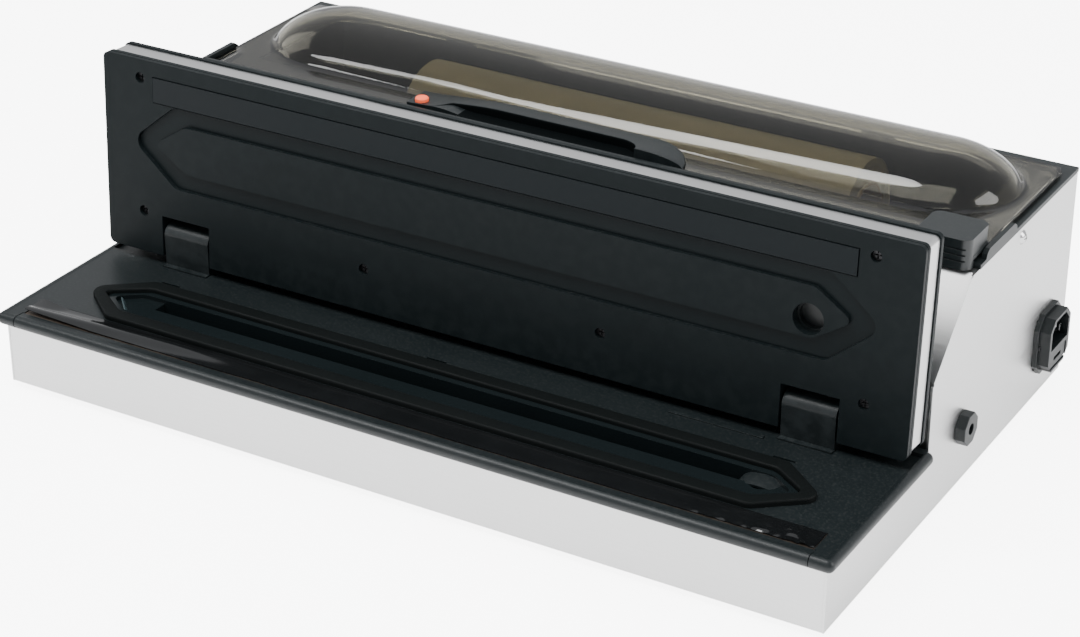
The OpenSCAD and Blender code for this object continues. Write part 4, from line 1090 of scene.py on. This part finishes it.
class SealerSetting(Operator):
    """Floor, surroundings, softboxes and camera"""

    bl_idname = "sealer.setting"
    bl_label = "Setting"

    def execute(self, context):
        self.floor()
        self.surround(context)
        self.softboxes()
        self.camera(context)
        return {"FINISHED"}

    def floor(self):
        bm = bmesh.new()
        bmesh.ops.create_grid(bm, x_segments=12, y_segments=12, size=4.0)
        floor = piece_from(bm, "floor")
        material, tree, shader, place = new_material("Pale floor")
        flow = grouped(tree, moulded_grain(), place, Grain_scale=60.0, Flow_scale=1.5)["Flow"]
        tree.link(tree.blend(flow, (0.90, 0.90, 0.90), (0.93, 0.93, 0.93)),
                  shader.inputs["Base Color"])
        shader.inputs["Roughness"].default_value = 0.6
        glow = bpy.context.scene.sealer_stage.floor_glow
        seen = tree.add("ShaderNodeLightPath").outputs["Is Camera Ray"]
        shader.inputs["Emission Color"].default_value = (1, 1, 1, 1)
        tree.link(tree.span(seen, 0.0, 1.0, glow, glow * 14), shader.inputs["Emission Strength"])
        floor.data.materials.append(material)

    def surround(self, context):
        world = bpy.data.worlds.new("Studio")
        world.use_nodes = True
        world.node_tree.nodes.clear()
        tree = Tree(world.node_tree)
        place = tree.add("ShaderNodeTexCoord").outputs["Generated"]
        height = tree.add("ShaderNodeSeparateXYZ", {0: place}).outputs["Z"]
        blend = tree.span(height, -0.2, 0.9, 0.0, 1.0)
        colour = tree.blend(blend, (0.97, 0.97, 0.98), (0.80, 0.82, 0.85))
        light = tree.add("ShaderNodeBackground", {"Color": colour,
                                                  "Strength": context.scene.sealer_stage.surround})
        output = tree.add("ShaderNodeOutputWorld")
        tree.link(light.outputs["Background"], output.inputs["Surface"])
        context.scene.world = world

    def softboxes(self):
        stage = bpy.context.scene.sealer_stage
        self.softbox("key", (0.1, -0.5, 1.35), 1.3, 0.8, stage.key_power, mirrored=False)
        self.softbox("cover_long", (-0.38, -0.35, 1.15), 0.26, 0.70, stage.cover_power * 1.3)
        self.softbox("cover_short", (-0.78, -0.45, 1.05), 0.12, 0.30, stage.cover_power * 0.2)
        self.softbox("right_fill", (1.35, 0.2, 0.75), 0.7, 1.0, stage.fill_power)
        self.softbox("left_fill", (-1.5, 0.2, 0.75), 0.7, 1.0, stage.fill_power, mirrored=False)
        self.softbox("back_rim", (-0.1, 1.3, 0.95), 1.4, 0.5, stage.fill_power * 0.5, mirrored=False)

    def softbox(self, name, place, width, depth, power, mirrored=True):
        lamp = bpy.data.lights.new(name, "AREA")
        lamp.shape = "RECTANGLE"
        lamp.size = width
        lamp.size_y = depth
        lamp.energy = power
        thing = bpy.data.objects.new(name, lamp)
        thing.location = place
        thing.visible_glossy = mirrored
        aim = Vector((0, 0, 0.06)) - Vector(place)
        thing.rotation_euler = aim.to_track_quat("-Z", "Y").to_euler()
        bpy.context.scene.collection.objects.link(thing)

    def camera(self, context):
        stage = context.scene.sealer_stage
        lens = bpy.data.cameras.new("camera")
        lens.lens = stage.lens
        lens.sensor_width = 36
        lens.clip_start = 0.01
        camera = bpy.data.objects.new("camera", lens)
        sight = Vector((math.sin(stage.azimuth) * math.cos(stage.elevation),
                        -math.cos(stage.azimuth) * math.cos(stage.elevation),
                        math.sin(stage.elevation)))
        camera.location = Vector(stage.target) + stage.distance * sight
        turn = sight.to_track_quat("Z", "Y").to_matrix().to_4x4()
        camera.rotation_euler = (turn @ Matrix.Rotation(stage.roll, 4, "Z")).to_euler()
        context.scene.collection.objects.link(camera)
        context.scene.camera = camera


class SealerPanel(Panel):
    """The sealer's controls in the 3D view's sidebar"""

    bl_idname = "VIEW3D_PT_sealer"
    bl_label = "Vacuum sealer"
    bl_space_type = "VIEW_3D"
    bl_region_type = "UI"
    bl_category = "Sealer"

    def draw(self, context):
        layout = self.layout
        scene = context.scene
        for holder in (scene.sealer_finishes, scene.sealer_sizes, scene.sealer_stage):
            box = layout.box()
            for name in holder.bl_rna.properties.keys():
                if name not in {"rna_type", "name"}:
                    box.prop(holder, name)
        for operator in OPERATORS:
            layout.operator(operator.bl_idname)


OPERATORS = (SealerMaterials, SealerCasings, SealerBed, SealerCover, SealerFittings, SealerSetting)
HOLDERS = (SealerFinishes, SealerSizes, SealerStage)
CLASSES = (*HOLDERS, *OPERATORS, SealerPanel)


def register():
    for cls in CLASSES:
        bpy.utils.register_class(cls)
    bpy.types.Scene.sealer_finishes = PointerProperty(type=SealerFinishes)
    bpy.types.Scene.sealer_sizes = PointerProperty(type=SealerSizes)
    bpy.types.Scene.sealer_stage = PointerProperty(type=SealerStage)


def unregister():
    del bpy.types.Scene.sealer_stage
    del bpy.types.Scene.sealer_sizes
    del bpy.types.Scene.sealer_finishes
    for cls in reversed(CLASSES):
        bpy.utils.unregister_class(cls)


def main():
    register()
    for operator in OPERATORS:
        space, name = operator.bl_idname.split(".")
        getattr(getattr(bpy.ops, space), name)()


if __name__ == "__main__":
    main()
